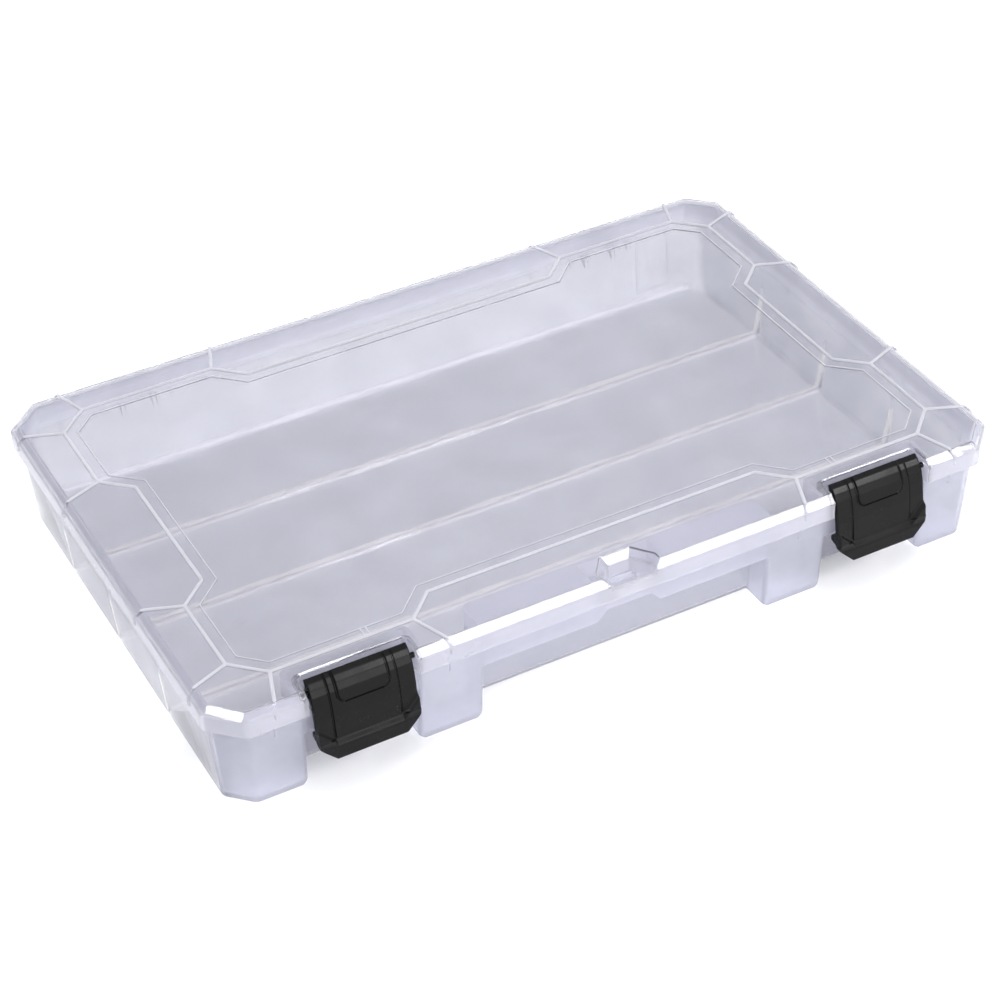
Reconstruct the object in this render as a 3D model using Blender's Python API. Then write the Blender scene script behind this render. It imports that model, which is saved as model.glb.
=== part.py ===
"""Flat utility tackle box: tray, hinged lid and two over-centre latches.

Units are metres, +Z up.  The origin is on the surface the box stands on, under
the middle of the tray.  The latches face -Y and the hinge is at +Y.
"""

import bmesh
import bpy
from math import cos, pi, sin, sqrt, tan
from mathutils import Vector

MM = 0.001

# Overall heights above the table
LID_TOP = 50.2
BEAD_CREST = 51.0
SKIRT_BOTTOM = 39.2
BEVEL = 3.2
WALL = 1.6

# Lid plan
LID_HALF_X = 177.5
LID_HALF_Y = 116.0
LID_CORNER = 13.0
LID_RADIUS = 5.0
PANEL_DEPTH = 0.5

# Outline of the raised bead on the lid, one quadrant
BEAD_X = 159.2
BEAD_Y = 97.5
BEAD_X_IN = 147.2
BEAD_Y_IN = 85.6
CORNER_X = 146.5
CORNER_Y = 85.2
STEP_X = (74.7, 86.7)
STEP_Y = (34.6, 45.8)
BEAD_HALF_WIDTH = 0.9
PANEL_INSET = 5.8

# Where the radial ribs of the lid reach its edge
RIB_END_X = (79.8, 152.7)
RIB_END_Y = (38.7, 92.4)
RIB_HALF_WIDTH = 0.8
RIB_HEIGHT = 0.8

# Tray
TRAY_TOP = 47.6
RIM_CHAMFER = 1.6
TRAY_HALF_X = (171.8, 175.0)
TRAY_FRONT = (-109.8, -113.6)
TRAY_REAR = (110.8, 113.6)
TRAY_CORNER = (10.0, 12.0)
FLOOR = 1.8

# Recesses along the front of the tray
RECESS_Y = (-97.2, -98.8)
RECESS_MID_X = 64.6
RECESS_LATCH_X = (92.8, 140.0)
APRON_BOTTOM = 28.3
PILLAR_CHAMFER = 2.2
LATCH_LEDGE = 38.7
LATCH_ZONE_X = (91.4, 141.8)
CATCH_Y = -111.5
APRON_GAP = (10.0, 14.2, 33.3)

# Padlock pocket in the middle of the front
LOCK_ZONE_X = 16.0
LOCK_SHELF = 39.0
POCKET_FLOOR = 41.3
POCKET_BAR = 44.9
POCKET_HOLE_X = 5.6
POCKET_HOLE_Y = (-112.2, -105.0)

# Ribs on the floor and the end walls
FLOOR_RIBS_Y = (-46.0, 6.0, 58.0)
FLOOR_RIB = (2.3, 1.0, 1.7)
WALL_RIB_TOP = 29.0

# Latches
LATCH_X = 116.6
LATCH_HALF = 21.2
NOTCH_HALF = 23.0
NOTCH_BACK = -104.4
NOTCH_CORNER = 1.8
PIVOT_Y = -110.8
PIVOT_Z = 45.6
PIN_RADIUS = 1.2
SOCKET_RADIUS = 1.5
PIN_REACH = 24.4
LIP_CORNER = 6.8
LATCH_BOTTOM = 16.5

# Rear hinge
HINGE_X = 116.5
HINGE_Y = 118.5
HINGE_Z = 37.2
HINGE_PIN_RADIUS = 1.2
HINGE_BORE_RADIUS = 1.5
KNUCKLE_RADIUS = 2.6
KNUCKLE_HALF = 5.8
CHEEK_IN = 6.3
CHEEK_OUT = 8.3
CHEEK_RADIUS = 2.2
GUSSET_RIBS_X = (101.2, 131.8)
TICK_X = (79.4, 152.7)
TICK_Y = (39.5, 92.0)

FAR = 140.0


def clear_scene():
    for obj in list(bpy.data.objects):
        bpy.data.objects.remove(obj, do_unlink=True)


# ---------------------------------------------------------------- materials

def clear_plastic(name, tint):
    """Natural polypropylene: pale, slightly hazy and see-through."""
    mat = bpy.data.materials.new(name)
    mat.use_nodes = True
    shader = mat.node_tree.nodes["Principled BSDF"]
    shader.inputs["Base Color"].default_value = (*tint, 1.0)
    shader.inputs["Roughness"].default_value = 0.22
    shader.inputs["Metallic"].default_value = 0.0
    shader.inputs["IOR"].default_value = 1.49
    shader.inputs["Transmission Weight"].default_value = 0.8
    shader.inputs["Alpha"].default_value = 0.35
    return mat


def black_plastic(name):
    """Satin black latch moulding."""
    mat = bpy.data.materials.new(name)
    mat.use_nodes = True
    shader = mat.node_tree.nodes["Principled BSDF"]
    shader.inputs["Base Color"].default_value = (0.012, 0.012, 0.013, 1.0)
    shader.inputs["Roughness"].default_value = 0.42
    shader.inputs["Metallic"].default_value = 0.0
    return mat


# ------------------------------------------------------------ mesh builders

def object_from(bm, name):
    """Turns a bmesh in millimetres into a scene object in metres."""
    bmesh.ops.connect_verts_nonplanar(bm, angle_limit=0.0005, faces=bm.faces)
    bmesh.ops.recalc_face_normals(bm, faces=bm.faces)
    bmesh.ops.scale(bm, vec=Vector((MM, MM, MM)), verts=bm.verts)
    mesh = bpy.data.meshes.new(name)
    bm.to_mesh(mesh)
    bm.free()
    obj = bpy.data.objects.new(name, mesh)
    bpy.context.scene.collection.objects.link(obj)
    return obj


def add_loft(bm, rings):
    """Adds one closed solid through rings of equal length."""
    loops = [[bm.verts.new(p) for p in ring] for ring in rings]
    count = len(loops[0])
    for low, high in zip(loops, loops[1:]):
        for i in range(count):
            j = (i + 1) % count
            bm.faces.new((low[i], low[j], high[j], high[i]))
    bm.faces.new(list(reversed(loops[0])))
    bm.faces.new(loops[-1])


def level(points, z):
    return [(x, y, z) for x, y in points]


def loft_solid(name, rings):
    bm = bmesh.new()
    add_loft(bm, rings)
    return object_from(bm, name)


def add_box(bm, low, high):
    corners = [(low[0], low[1]), (high[0], low[1]), (high[0], high[1]), (low[0], high[1])]
    add_loft(bm, [level(corners, low[2]), level(corners, high[2])])


def boxes(name, pairs):
    """One object that holds several boxes standing apart."""
    bm = bmesh.new()
    for low, high in pairs:
        add_box(bm, low, high)
    return object_from(bm, name)


def add_bar(bm, profile, x_low, x_high):
    """Extrudes a (y, z) profile along X."""
    rings = [[(x, y, z) for y, z in profile] for x in (x_low, x_high)]
    add_loft(bm, rings)


def circle(centre, radius, count):
    cy, cz = centre
    turn = [2 * pi * i / count for i in range(count)]
    return [(cy + radius * cos(a), cz + radius * sin(a)) for a in turn]


# ---------------------------------------------------------------- outlines

def rounded(points, radius, steps=3):
    """Replaces each corner of a convex outline by a short arc."""
    out = []
    count = len(points)
    for i in range(count):
        here = Vector(points[i])
        to_last = (Vector(points[i - 1]) - here).normalized()
        to_next = (Vector(points[(i + 1) % count]) - here).normalized()
        half = to_last.angle(to_next) / 2
        reach = radius / tan(half)
        centre = here + (to_last + to_next).normalized() * (radius / sin(half))
        start = (here + to_last * reach - centre).normalized()
        end = (here + to_next * reach - centre).normalized()
        for k in range(steps + 1):
            ray = start.slerp(end, k / steps)
            out.append(tuple(centre + ray * radius))
    return out


def chamfered(half_x, y_front, y_rear, cut, radius):
    """Rectangle with its four corners cut at 45 degrees, each edge eased."""
    corners = [
        (-half_x + cut, y_front), (half_x - cut, y_front),
        (half_x, y_front + cut), (half_x, y_rear - cut),
        (half_x - cut, y_rear), (-half_x + cut, y_rear),
        (-half_x, y_rear - cut), (-half_x, y_front + cut),
    ]
    return rounded(corners, radius)


def lid_outline(inset):
    cut = LID_CORNER - inset * (2 - sqrt(2))
    half_y = LID_HALF_Y - inset
    radius = LID_RADIUS - inset
    return chamfered(LID_HALF_X - inset, -half_y, half_y, cut, radius)


def tray_outline(z, inset):
    """Outer wall of the tray at height z, drawn in by inset."""
    t = z / (TRAY_TOP - RIM_CHAMFER)
    half_x = TRAY_HALF_X[0] + t * (TRAY_HALF_X[1] - TRAY_HALF_X[0])
    front = TRAY_FRONT[0] + t * (TRAY_FRONT[1] - TRAY_FRONT[0])
    rear = TRAY_REAR[0] + t * (TRAY_REAR[1] - TRAY_REAR[0])
    cut = TRAY_CORNER[0] + t * (TRAY_CORNER[1] - TRAY_CORNER[0])
    cut -= inset * (2 - sqrt(2))
    return chamfered(half_x - inset, front + inset, rear - inset, cut, 4.4 - inset)


def bead_outline():
    """Twenty-four corners of the bead, counter-clockwise from the front."""
    quadrant = [
        (BEAD_X, STEP_Y[1]), (BEAD_X, CORNER_Y),
        (CORNER_X, BEAD_Y), (STEP_X[1], BEAD_Y),
        (STEP_X[0], BEAD_Y_IN),
    ]
    quadrant.insert(0, (BEAD_X_IN, STEP_Y[0]))
    left = [(-x, y) for x, y in reversed(quadrant)]
    rear = quadrant + left
    front = [(-x, -y) for x, y in rear]
    return rear + front


def offset_outline(points, distance):
    """Moves each edge of an outline outwards by distance, with mitred corners."""
    out = []
    count = len(points)
    for i in range(count):
        a, b, c = (Vector(points[(i + k) % count]) for k in (-1, 0, 1))
        first = (b - a).normalized()
        second = (c - b).normalized()
        n1 = Vector((first.y, -first.x))
        n2 = Vector((second.y, -second.x))
        mitre = (n1 + n2) / (1 + n1.dot(n2))
        out.append(tuple(b + mitre * distance))
    return out


# ---------------------------------------------------------------- booleans

def helper(obj):
    obj.hide_render = True
    obj.display_type = "WIRE"
    return obj


def combine(obj, other, operation, solver="EXACT"):
    mod = obj.modifiers.new(operation.title() + "_" + other.name, "BOOLEAN")
    mod.operation = operation
    mod.solver = solver
    mod.object = helper(other)


def cut(obj, other):
    combine(obj, other, "DIFFERENCE")


def join(obj, other):
    combine(obj, other, "UNION")


# ---------------------------------------------------------------- tray

def tray_shell():
    rim = TRAY_TOP - RIM_CHAMFER
    rings = [
        level(tray_outline(0.0, 1.0), 0.0),
        level(tray_outline(1.2, 0.0), 1.2),
        level(tray_outline(rim, 0.0), rim),
        level(tray_outline(rim, RIM_CHAMFER), TRAY_TOP),
    ]
    return loft_solid("tray", rings)


def recess_wall_y(z):
    return RECESS_Y[0] + (RECESS_Y[1] - RECESS_Y[0]) * z / TRAY_TOP


def wall_block(name, x_low, x_high, z_low, extra=0.0):
    """Solid left standing in the tray's hollow, around one front recess."""
    rings = []
    for z in (z_low, 60.0):
        back = recess_wall_y(z) + WALL + extra
        plan = [(x_low, -FAR), (x_high, -FAR), (x_high, back), (x_low, back)]
        rings.append(level(plan, z))
    return helper(loft_solid(name, rings))


def tray_hollow():
    low = FLOOR + 1.2
    rings = [
        level(tray_outline(FLOOR, WALL + 1.1), FLOOR),
        level(tray_outline(low, WALL), low),
        level(tray_outline(54.0, WALL), 54.0),
    ]
    hollow = helper(loft_solid("tray_hollow", rings))
    cut(hollow, wall_block("block_mid", -RECESS_MID_X - WALL, RECESS_MID_X + WALL, -5.0))
    for side, tag in ((-1, "left"), (1, "right")):
        ends = sorted(side * x for x in (RECESS_LATCH_X[0] - WALL, RECESS_LATCH_X[1] + WALL))
        cut(hollow, wall_block("block_" + tag, ends[0], ends[1], -5.0))
        ends = sorted(side * x for x in (LATCH_ZONE_X[0] - WALL, LATCH_ZONE_X[1] + WALL))
        cut(hollow, wall_block("block_top_" + tag, ends[0], ends[1], LATCH_LEDGE - WALL, 0.3))
    return hollow


def recess_cutter(name, x_low, x_high):
    """Open part of a recess, below the apron, with eased pillar corners."""
    rings = []
    for z in (-2.0, APRON_BOTTOM):
        t = z / (TRAY_TOP - RIM_CHAMFER)
        face = TRAY_FRONT[0] + t * (TRAY_FRONT[1] - TRAY_FRONT[0])
        back = recess_wall_y(z)
        ease = PILLAR_CHAMFER
        plan = [
            (x_low, back), (x_low, face + ease), (x_low - ease, face - 0.2),
            (x_low - ease, -FAR), (x_high + ease, -FAR), (x_high + ease, face - 0.2),
            (x_high, face + ease), (x_high, back),
        ]
        rings.append(level(plan, z))
    return loft_solid(name, rings)


def apron_pocket(name, x_low, x_high, apron_inner, z_high):
    """Hollow behind the apron, open downwards into the recess."""
    rings = []
    for z in (APRON_BOTTOM - 1.0, z_high):
        back = recess_wall_y(z)
        plan = [(x_low, apron_inner), (x_high, apron_inner), (x_high, back), (x_low, back)]
        rings.append(level(plan, z))
    return loft_solid(name, rings)


def cut_front(tray):
    """The middle recess and the two recesses behind the latches."""
    inner = -110.4
    cut(tray, recess_cutter("recess_mid", -RECESS_MID_X, RECESS_MID_X))
    lock = LOCK_ZONE_X + WALL
    cut(tray, apron_pocket("pocket_mid_l", -RECESS_MID_X, -lock, inner, TRAY_TOP - WALL))
    cut(tray, apron_pocket("pocket_mid_r", lock, RECESS_MID_X, inner, TRAY_TOP - WALL))
    cut(tray, apron_pocket("pocket_lock", -lock - 0.5, lock + 0.5, inner, LOCK_SHELF - WALL))
    for side, tag in ((-1, "left"), (1, "right")):
        low, high = sorted(side * x for x in RECESS_LATCH_X)
        cut(tray, recess_cutter("recess_" + tag, low, high))
        catch = CATCH_Y + WALL
        cut(tray, apron_pocket("pocket_" + tag, low, high, catch, LATCH_LEDGE - WALL))
        low, high = sorted(side * x for x in LATCH_ZONE_X)
        back = recess_wall_y(TRAY_TOP)
        cut(tray, boxes("ledge_" + tag, [((low, -FAR, LATCH_LEDGE), (high, back, 60.0))]))
        low, high = sorted(side * x for x in RECESS_LATCH_X)
        face = [((low, -FAR, APRON_BOTTOM - 3.0), (high, CATCH_Y, LATCH_LEDGE + 2.0))]
        cut(tray, boxes("catch_face_" + tag, face))


def cut_lock_zone(tray):
    """Sunk shelf under the padlock pocket, its slot and the gap in the apron."""
    back = recess_wall_y(TRAY_TOP)
    sunk = [((-LOCK_ZONE_X, -FAR, LOCK_SHELF), (LOCK_ZONE_X, back, 60.0))]
    cut(tray, boxes("lock_sunk", sunk))
    low, high = POCKET_HOLE_Y
    slot = [((-POCKET_HOLE_X - 1.0, low + 1.8, 30.0), (POCKET_HOLE_X + 1.0, high + 0.6, 44.0))]
    cut(tray, boxes("lock_slot", slot))
    top_half, low_half, z_top = APRON_GAP
    low = APRON_BOTTOM - 2.0
    spread = (low_half - top_half) / (z_top - APRON_BOTTOM)
    wide = low_half + 2.0 * spread
    rings = []
    for y in (-FAR, -107.0):
        rings.append([(-wide, y, low), (wide, y, low), (top_half, y, z_top), (-top_half, y, z_top)])
    cut(tray, loft_solid("apron_gap", rings))


def wedge_rings(y, half_low, half_high, z_low, z_high, x_wall, x_tip):
    """Rings of a rib on an end wall that tapers to nothing at the top."""
    low = [(x_wall, y - half_low), (x_tip, y - half_high), (x_tip, y + half_high), (x_wall, y + half_low)]
    sign = 1 if x_wall > 0 else -1
    top_x = x_wall + sign * 1.8
    high = [(top_x, y - 0.2), (top_x - sign * 0.3, y - 0.1), (top_x - sign * 0.3, y + 0.1), (top_x, y + 0.2)]
    return [level(low, z_low), level(high, z_high)]


def add_inner_ribs(tray):
    """Three ribs along the floor that run up both end walls."""
    foot, crest, height = FLOOR_RIB
    for index, y in enumerate(FLOOR_RIBS_Y):
        profile = [
            (y - foot, FLOOR - 0.5), (y + foot, FLOOR - 0.5), (y + foot, FLOOR),
            (y + crest, FLOOR + height), (y - crest, FLOOR + height), (y - foot, FLOOR),
        ]
        bm = bmesh.new()
        add_bar(bm, profile, -170.9, 170.9)
        join(tray, object_from(bm, "floor_rib_%d" % index))
        bm = bmesh.new()
        for side in (-1, 1):
            add_loft(bm, wedge_rings(y, foot - 0.3, crest, 1.0, WALL_RIB_TOP, side * 171.0, side * 168.0))
        join(tray, object_from(bm, "wall_ribs_%d" % index))


def cut_outer_grooves(tray):
    """Grooves under the floor ribs and their tapering ends on the end walls."""
    for index, y in enumerate(FLOOR_RIBS_Y):
        bm = bmesh.new()
        profile = [(y - 1.9, -1.0), (y + 1.9, -1.0), (y + 1.5, 0.0), (y + 0.5, 1.2), (y - 0.5, 1.2), (y - 1.5, 0.0)]
        add_bar(bm, profile, -169.0, 169.0)
        cut(tray, object_from(bm, "under_groove_%d" % index))
        bm = bmesh.new()
        for side in (-1, 1):
            low = [(side * 174.0, y - 2.9), (side * 174.0, y + 2.9), (side * 170.9, y)]
            high = [(side * 175.2, y - 0.3), (side * 175.2, y + 0.3), (side * 173.4, y)]
            add_loft(bm, [level(low, -1.0), level(high, 23.0)])
        cut(tray, object_from(bm, "end_groove_%d" % index))


def add_ticks(tray):
    """Short vertical ribs under the rim, in line with the ribs of the lid."""
    pairs = []
    low, high = 32.6, SKIRT_BOTTOM - 0.6
    for side in (-1, 1):
        for x in TICK_X:
            pairs.append(((side * x - 0.6, -113.9, low), (side * x + 0.6, -112.0, high)))
            pairs.append(((side * x - 0.6, 112.0, low), (side * x + 0.6, 114.2, high)))
        for y in TICK_Y:
            ends = sorted((side * 173.6, side * 175.4))
            for flip in (-1, 1):
                pairs.append(((ends[0], flip * y - 0.6, low), (ends[1], flip * y + 0.6, high)))
    join(tray, boxes("rim_ticks", pairs))


def hinge_cheek_profile():
    """Side view of a hinge cheek: a web from the rear wall to the pin."""
    profile = [(112.0, 27.5), (112.0, SKIRT_BOTTOM - 0.5), (116.9, SKIRT_BOTTOM - 0.5)]
    for step in range(7):
        angle = pi * (0.62 - 0.95 * step / 6)
        profile.append((HINGE_Y + CHEEK_RADIUS * cos(angle), HINGE_Z + CHEEK_RADIUS * sin(angle)))
    return profile


def add_tray_hinges(tray):
    """Two stations of paired cheeks with a moulded pin between them."""
    profile = hinge_cheek_profile()
    pin = circle((HINGE_Y, HINGE_Z), HINGE_PIN_RADIUS, 16)
    cheeks = bmesh.new()
    pins = bmesh.new()
    gussets = bmesh.new()
    web = [(112.0, 29.0), (112.0, SKIRT_BOTTOM - 0.6), (115.6, SKIRT_BOTTOM - 0.6), (115.6, 36.5)]
    for side in (-1, 1):
        for inner, outer in ((CHEEK_IN, CHEEK_OUT), (-CHEEK_OUT, -CHEEK_IN)):
            add_bar(cheeks, profile, side * HINGE_X + inner, side * HINGE_X + outer)
        middle = side * HINGE_X
        add_bar(pins, pin, middle - CHEEK_IN - 0.8, middle + CHEEK_IN + 0.8)
        for x in GUSSET_RIBS_X:
            add_bar(gussets, web, side * x - 0.7, side * x + 0.7)
    combine(tray, object_from(cheeks, "hinge_cheeks"), "UNION", "MANIFOLD")
    combine(tray, object_from(pins, "hinge_pins"), "UNION", "MANIFOLD")
    combine(tray, object_from(gussets, "hinge_gussets"), "UNION", "MANIFOLD")


def build_tray():
    tray = tray_shell()
    cut(tray, tray_hollow())
    cut_front(tray)
    cut_lock_zone(tray)
    add_inner_ribs(tray)
    cut_outer_grooves(tray)
    add_ticks(tray)
    add_tray_hinges(tray)
    return tray


# ---------------------------------------------------------------- lid

def lid_shell():
    rings = [
        level(lid_outline(0.0), SKIRT_BOTTOM),
        level(lid_outline(0.0), LID_TOP - BEVEL),
        level(lid_outline(BEVEL), LID_TOP),
    ]
    return loft_solid("lid", rings)


def notch_plan(side, grow, bevel):
    """Plan of the gap in the lid's edge for a latch, from the front round the back."""
    half = NOTCH_HALF + grow
    back = NOTCH_BACK + grow + bevel
    cut_size = NOTCH_CORNER
    centre = side * LATCH_X
    return [
        (centre - half, -FAR), (centre + half, -FAR),
        (centre + half, back - cut_size), (centre + half - cut_size, back),
        (centre - half + cut_size, back), (centre - half, back - cut_size),
    ]


def notch_solid(name, side, grow):
    slope = LID_TOP - 1.8
    rings = [level(notch_plan(side, grow, 0.0), 20.0)]
    if grow:
        rings.append(level(notch_plan(side, grow, 0.0), 60.0))
    else:
        rings.append(level(notch_plan(side, grow, 0.0), slope))
        rings.append(level(notch_plan(side, grow, 1.8), LID_TOP))
        rings.append(level(notch_plan(side, grow, 1.8), 60.0))
    return loft_solid(name, rings)


def pocket_plan(grow, bevel):
    """Plan of the padlock pocket: a narrow back and splayed sides."""
    narrow = 4.6 + grow * 0.6 + bevel * 0.6
    wide = 10.0 + grow + bevel * 1.05
    back = -104.0 + grow + bevel
    front = -111.0 + grow * 0.5 + bevel * 0.5
    return [(-wide, -FAR), (wide, -FAR), (wide, front), (narrow, back), (-narrow, back), (-wide, front)]


def pocket_solid(name, grow):
    if grow:
        rings = [level(pocket_plan(grow, 0.0), POCKET_FLOOR - WALL), level(pocket_plan(grow, 0.0), 47.4)]
        rings.append(level(pocket_plan(grow, BEVEL), 60.0))
        return loft_solid(name, rings)
    rings = [
        level(pocket_plan(0.0, 0.0), POCKET_BAR),
        level(pocket_plan(0.0, 0.0), LID_TOP - BEVEL),
        level(pocket_plan(0.0, BEVEL), LID_TOP),
        level(pocket_plan(0.0, BEVEL), 60.0),
    ]
    return loft_solid(name, rings)


def lid_hollow():
    shoulder = LID_TOP - BEVEL - WALL * (sqrt(2) - 1)
    under = LID_TOP - WALL
    inset_top = BEVEL + WALL * (sqrt(2) - 1)
    rings = [
        level(lid_outline(WALL), SKIRT_BOTTOM - 3.0),
        level(lid_outline(WALL), shoulder),
        level(lid_outline(inset_top), under),
    ]
    hollow = helper(loft_solid("lid_hollow", rings))
    for side, tag in ((-1, "left"), (1, "right")):
        cut(hollow, notch_solid("notch_wall_" + tag, side, WALL))
    cut(hollow, pocket_solid("pocket_wall", WALL))
    return hollow


def cut_lock_pocket(lid):
    """Sunk pocket behind a bar at the front edge, with a slot through its floor."""
    cut(lid, pocket_solid("pocket", 0.0))
    plan = [(x, max(y, -LID_HALF_Y + WALL)) for x, y in pocket_plan(0.0, 0.0)]
    sunk = loft_solid("pocket_sunk", [level(plan, POCKET_FLOOR), level(plan, POCKET_BAR + 1.0)])
    cut(lid, sunk)
    low, high = POCKET_HOLE_Y
    slot = [((-POCKET_HOLE_X, low, 36.0), (POCKET_HOLE_X, high, 44.0))]
    cut(lid, boxes("pocket_slot", slot))


def bead_ring():
    """Closed bead of trapezoidal section that follows the bead outline."""
    line = bead_outline()
    wide = BEAD_HALF_WIDTH
    slim = BEAD_HALF_WIDTH * 0.55
    sections = [
        (wide, LID_TOP - 0.5), (wide, LID_TOP + 0.1), (slim, BEAD_CREST),
        (-slim, BEAD_CREST), (-wide, LID_TOP + 0.1), (-wide, LID_TOP - 0.5),
    ]
    bm = bmesh.new()
    loops = []
    for distance, z in sections:
        loops.append([bm.verts.new((x, y, z)) for x, y in offset_outline(line, distance)])
    count = len(line)
    for low, high in zip(loops, loops[1:] + loops[:1]):
        for i in range(count):
            j = (i + 1) % count
            bm.faces.new((low[i], low[j], high[j], high[i]))
    return object_from(bm, "bead")


def add_lid_rib(bm, start, end, normal):
    """One rib from the bead to the lid's edge, over the bevel and down the skirt.

    end is where the rib meets the skirt's outer face; normal points out of that face.
    """
    start, end, normal = Vector(start), Vector(end), Vector(normal)
    along = (end - start).normalized()
    slope = 1 / along.dot(normal)
    reach = (end - start).length
    raised = RIB_HEIGHT * slope
    profile = [
        (0.0, LID_TOP - 0.6), (reach - (BEVEL + 0.6) * slope, LID_TOP - 0.6),
        (reach - 0.7 * slope, LID_TOP - BEVEL - 0.9), (reach - 0.7 * slope, LID_TOP - BEVEL - 1.6),
        (reach + 0.02 * slope, LID_TOP - BEVEL - 1.6), (reach + raised * 0.8, LID_TOP - BEVEL - 0.2),
        (reach + raised * 0.8 - (BEVEL - 0.3) * slope, LID_TOP + RIB_HEIGHT), (0.0, LID_TOP + RIB_HEIGHT),
    ]
    across = Vector((-along.y, along.x))
    rings = []
    for side in (-RIB_HALF_WIDTH, RIB_HALF_WIDTH):
        rings.append([(*(start + along * s + across * side), z) for s, z in profile])
    add_loft(bm, rings)


def lid_ribs():
    bm = bmesh.new()
    starts = ((STEP_X[1], RIB_END_X[0]), (CORNER_X, RIB_END_X[1]))
    ends = ((STEP_Y[1], RIB_END_Y[0]), (CORNER_Y, RIB_END_Y[1]))
    for sx in (-1, 1):
        for sy in (-1, 1):
            for x_in, x_out in starts:
                add_lid_rib(bm, (sx * x_in, sy * BEAD_Y), (sx * x_out, sy * LID_HALF_Y), (0, sy))
            for y_in, y_out in ends:
                add_lid_rib(bm, (sx * BEAD_X, sy * y_in), (sx * LID_HALF_X, sy * y_out), (sx, 0))
    return object_from(bm, "lid_ribs")


def knuckle_profile():
    """Side view of a lid knuckle: an eye around the pin and an arm to the skirt."""
    profile = [(115.2, SKIRT_BOTTOM + 0.6), (115.2, 45.4), (116.4, 45.4)]
    for step in range(11):
        angle = pi * (0.32 - 1.2 * step / 10)
        profile.append((HINGE_Y + KNUCKLE_RADIUS * cos(angle), HINGE_Z + KNUCKLE_RADIUS * sin(angle)))
    return profile


def add_knuckles(lid):
    eyes = bmesh.new()
    bores = bmesh.new()
    mouths = []
    bore = circle((HINGE_Y, HINGE_Z), HINGE_BORE_RADIUS, 20)
    for side in (-1, 1):
        middle = side * HINGE_X
        add_bar(eyes, knuckle_profile(), middle - KNUCKLE_HALF, middle + KNUCKLE_HALF)
        add_bar(bores, bore, middle - KNUCKLE_HALF - 1, middle + KNUCKLE_HALF + 1)
        mouths.append(((middle - 7, HINGE_Y - 1.0, 30.0), (middle + 7, HINGE_Y + 1.0, HINGE_Z)))
    join(lid, object_from(eyes, "knuckles"))
    cut(lid, object_from(bores, "knuckle_bores"))
    cut(lid, boxes("knuckle_mouths", mouths))


def cut_latch_sockets(lid):
    bm = bmesh.new()
    hole = circle((PIVOT_Y, PIVOT_Z), SOCKET_RADIUS, 20)
    for side in (-1, 1):
        for flip in (-1, 1):
            ends = sorted((NOTCH_HALF - 0.5, NOTCH_HALF + WALL + 0.5))
            low, high = sorted(side * LATCH_X + flip * e for e in ends)
            add_bar(bm, hole, low, high)
    cut(lid, object_from(bm, "latch_sockets"))


def build_lid():
    lid = lid_shell()
    cut(lid, lid_hollow())
    for side, tag in ((-1, "left"), (1, "right")):
        cut(lid, notch_solid("notch_" + tag, side, 0.0))
    cut_lock_pocket(lid)
    panel = offset_outline(bead_outline(), -PANEL_INSET)
    rings = [level(panel, LID_TOP - PANEL_DEPTH)]
    rings.append(level(offset_outline(panel, 0.6), LID_TOP + 0.1))
    cut(lid, loft_solid("panel_step", rings))
    join(lid, bead_ring())
    join(lid, lid_ribs())
    add_knuckles(lid)
    cut_latch_sockets(lid)
    return lid


# ---------------------------------------------------------------- latches

def latch_profile():
    """Side view of a latch: curved shell, flared lip, hook and pivot barrel."""
    outer = [
        (-108.7, 51.0), (-110.7, 49.9), (-112.6, 47.9), (-114.2, 45.1), (-115.4, 41.0),
        (-116.4, 35.0), (-117.4, 25.0), (-119.3, 22.6), (-119.6, LATCH_BOTTOM),
    ]
    inner = [
        (-117.6, LATCH_BOTTOM), (-117.3, 21.9), (-115.3, 24.6), (-112.1, 25.3),
        (-112.1, 27.9), (-115.0, 28.3), (-114.3, 35.0), (-113.3, 40.6),
    ]
    barrel = []
    for step in range(8):
        angle = pi * (-0.62 + 0.86 * step / 7)
        barrel.append((PIVOT_Y + 2.6 * cos(angle), PIVOT_Z + 2.6 * sin(angle)))
    return outer + inner + barrel + [(-107.9, 50.4)]


def build_latch(name, side):
    """A latch with its origin on its pivot axis."""
    bm = bmesh.new()
    add_bar(bm, latch_profile(), -LATCH_HALF, LATCH_HALF)
    bmesh.ops.translate(bm, vec=Vector((0, -PIVOT_Y, -PIVOT_Z)), verts=bm.verts)
    latch = object_from(bm, name)
    bm = bmesh.new()
    add_bar(bm, circle((0.0, 0.0), PIN_RADIUS, 16), -PIN_REACH, PIN_REACH)
    pin = object_from(bm, name + "_pin")
    bm = bmesh.new()
    low = LATCH_BOTTOM - PIVOT_Z
    for flip in (-1, 1):
        rings = []
        for y in (-14.0, 3.0):
            rings.append([
                (flip * (LATCH_HALF - LIP_CORNER - 2.0), y, low - 2.0), (flip * (LATCH_HALF + 2.0), y, low - 2.0),
                (flip * (LATCH_HALF + 2.0), y, low + LIP_CORNER + 2.0),
            ])
        add_loft(bm, rings)
    corners = object_from(bm, name + "_corners")
    place = Vector((side * LATCH_X, PIVOT_Y, PIVOT_Z)) * MM
    for obj in (latch, pin, corners):
        obj.location = place
    cut(latch, corners)
    join(latch, pin)
    return latch


# ---------------------------------------------------------------- assembly

def empty_at(name, point):
    marker = bpy.data.objects.new(name, None)
    marker.empty_display_size = 0.02
    marker.location = Vector(point) * MM
    bpy.context.scene.collection.objects.link(marker)
    return marker


def parent_keep(child, parent):
    child.parent = parent
    child.matrix_parent_inverse = parent.matrix_world.inverted()


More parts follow.
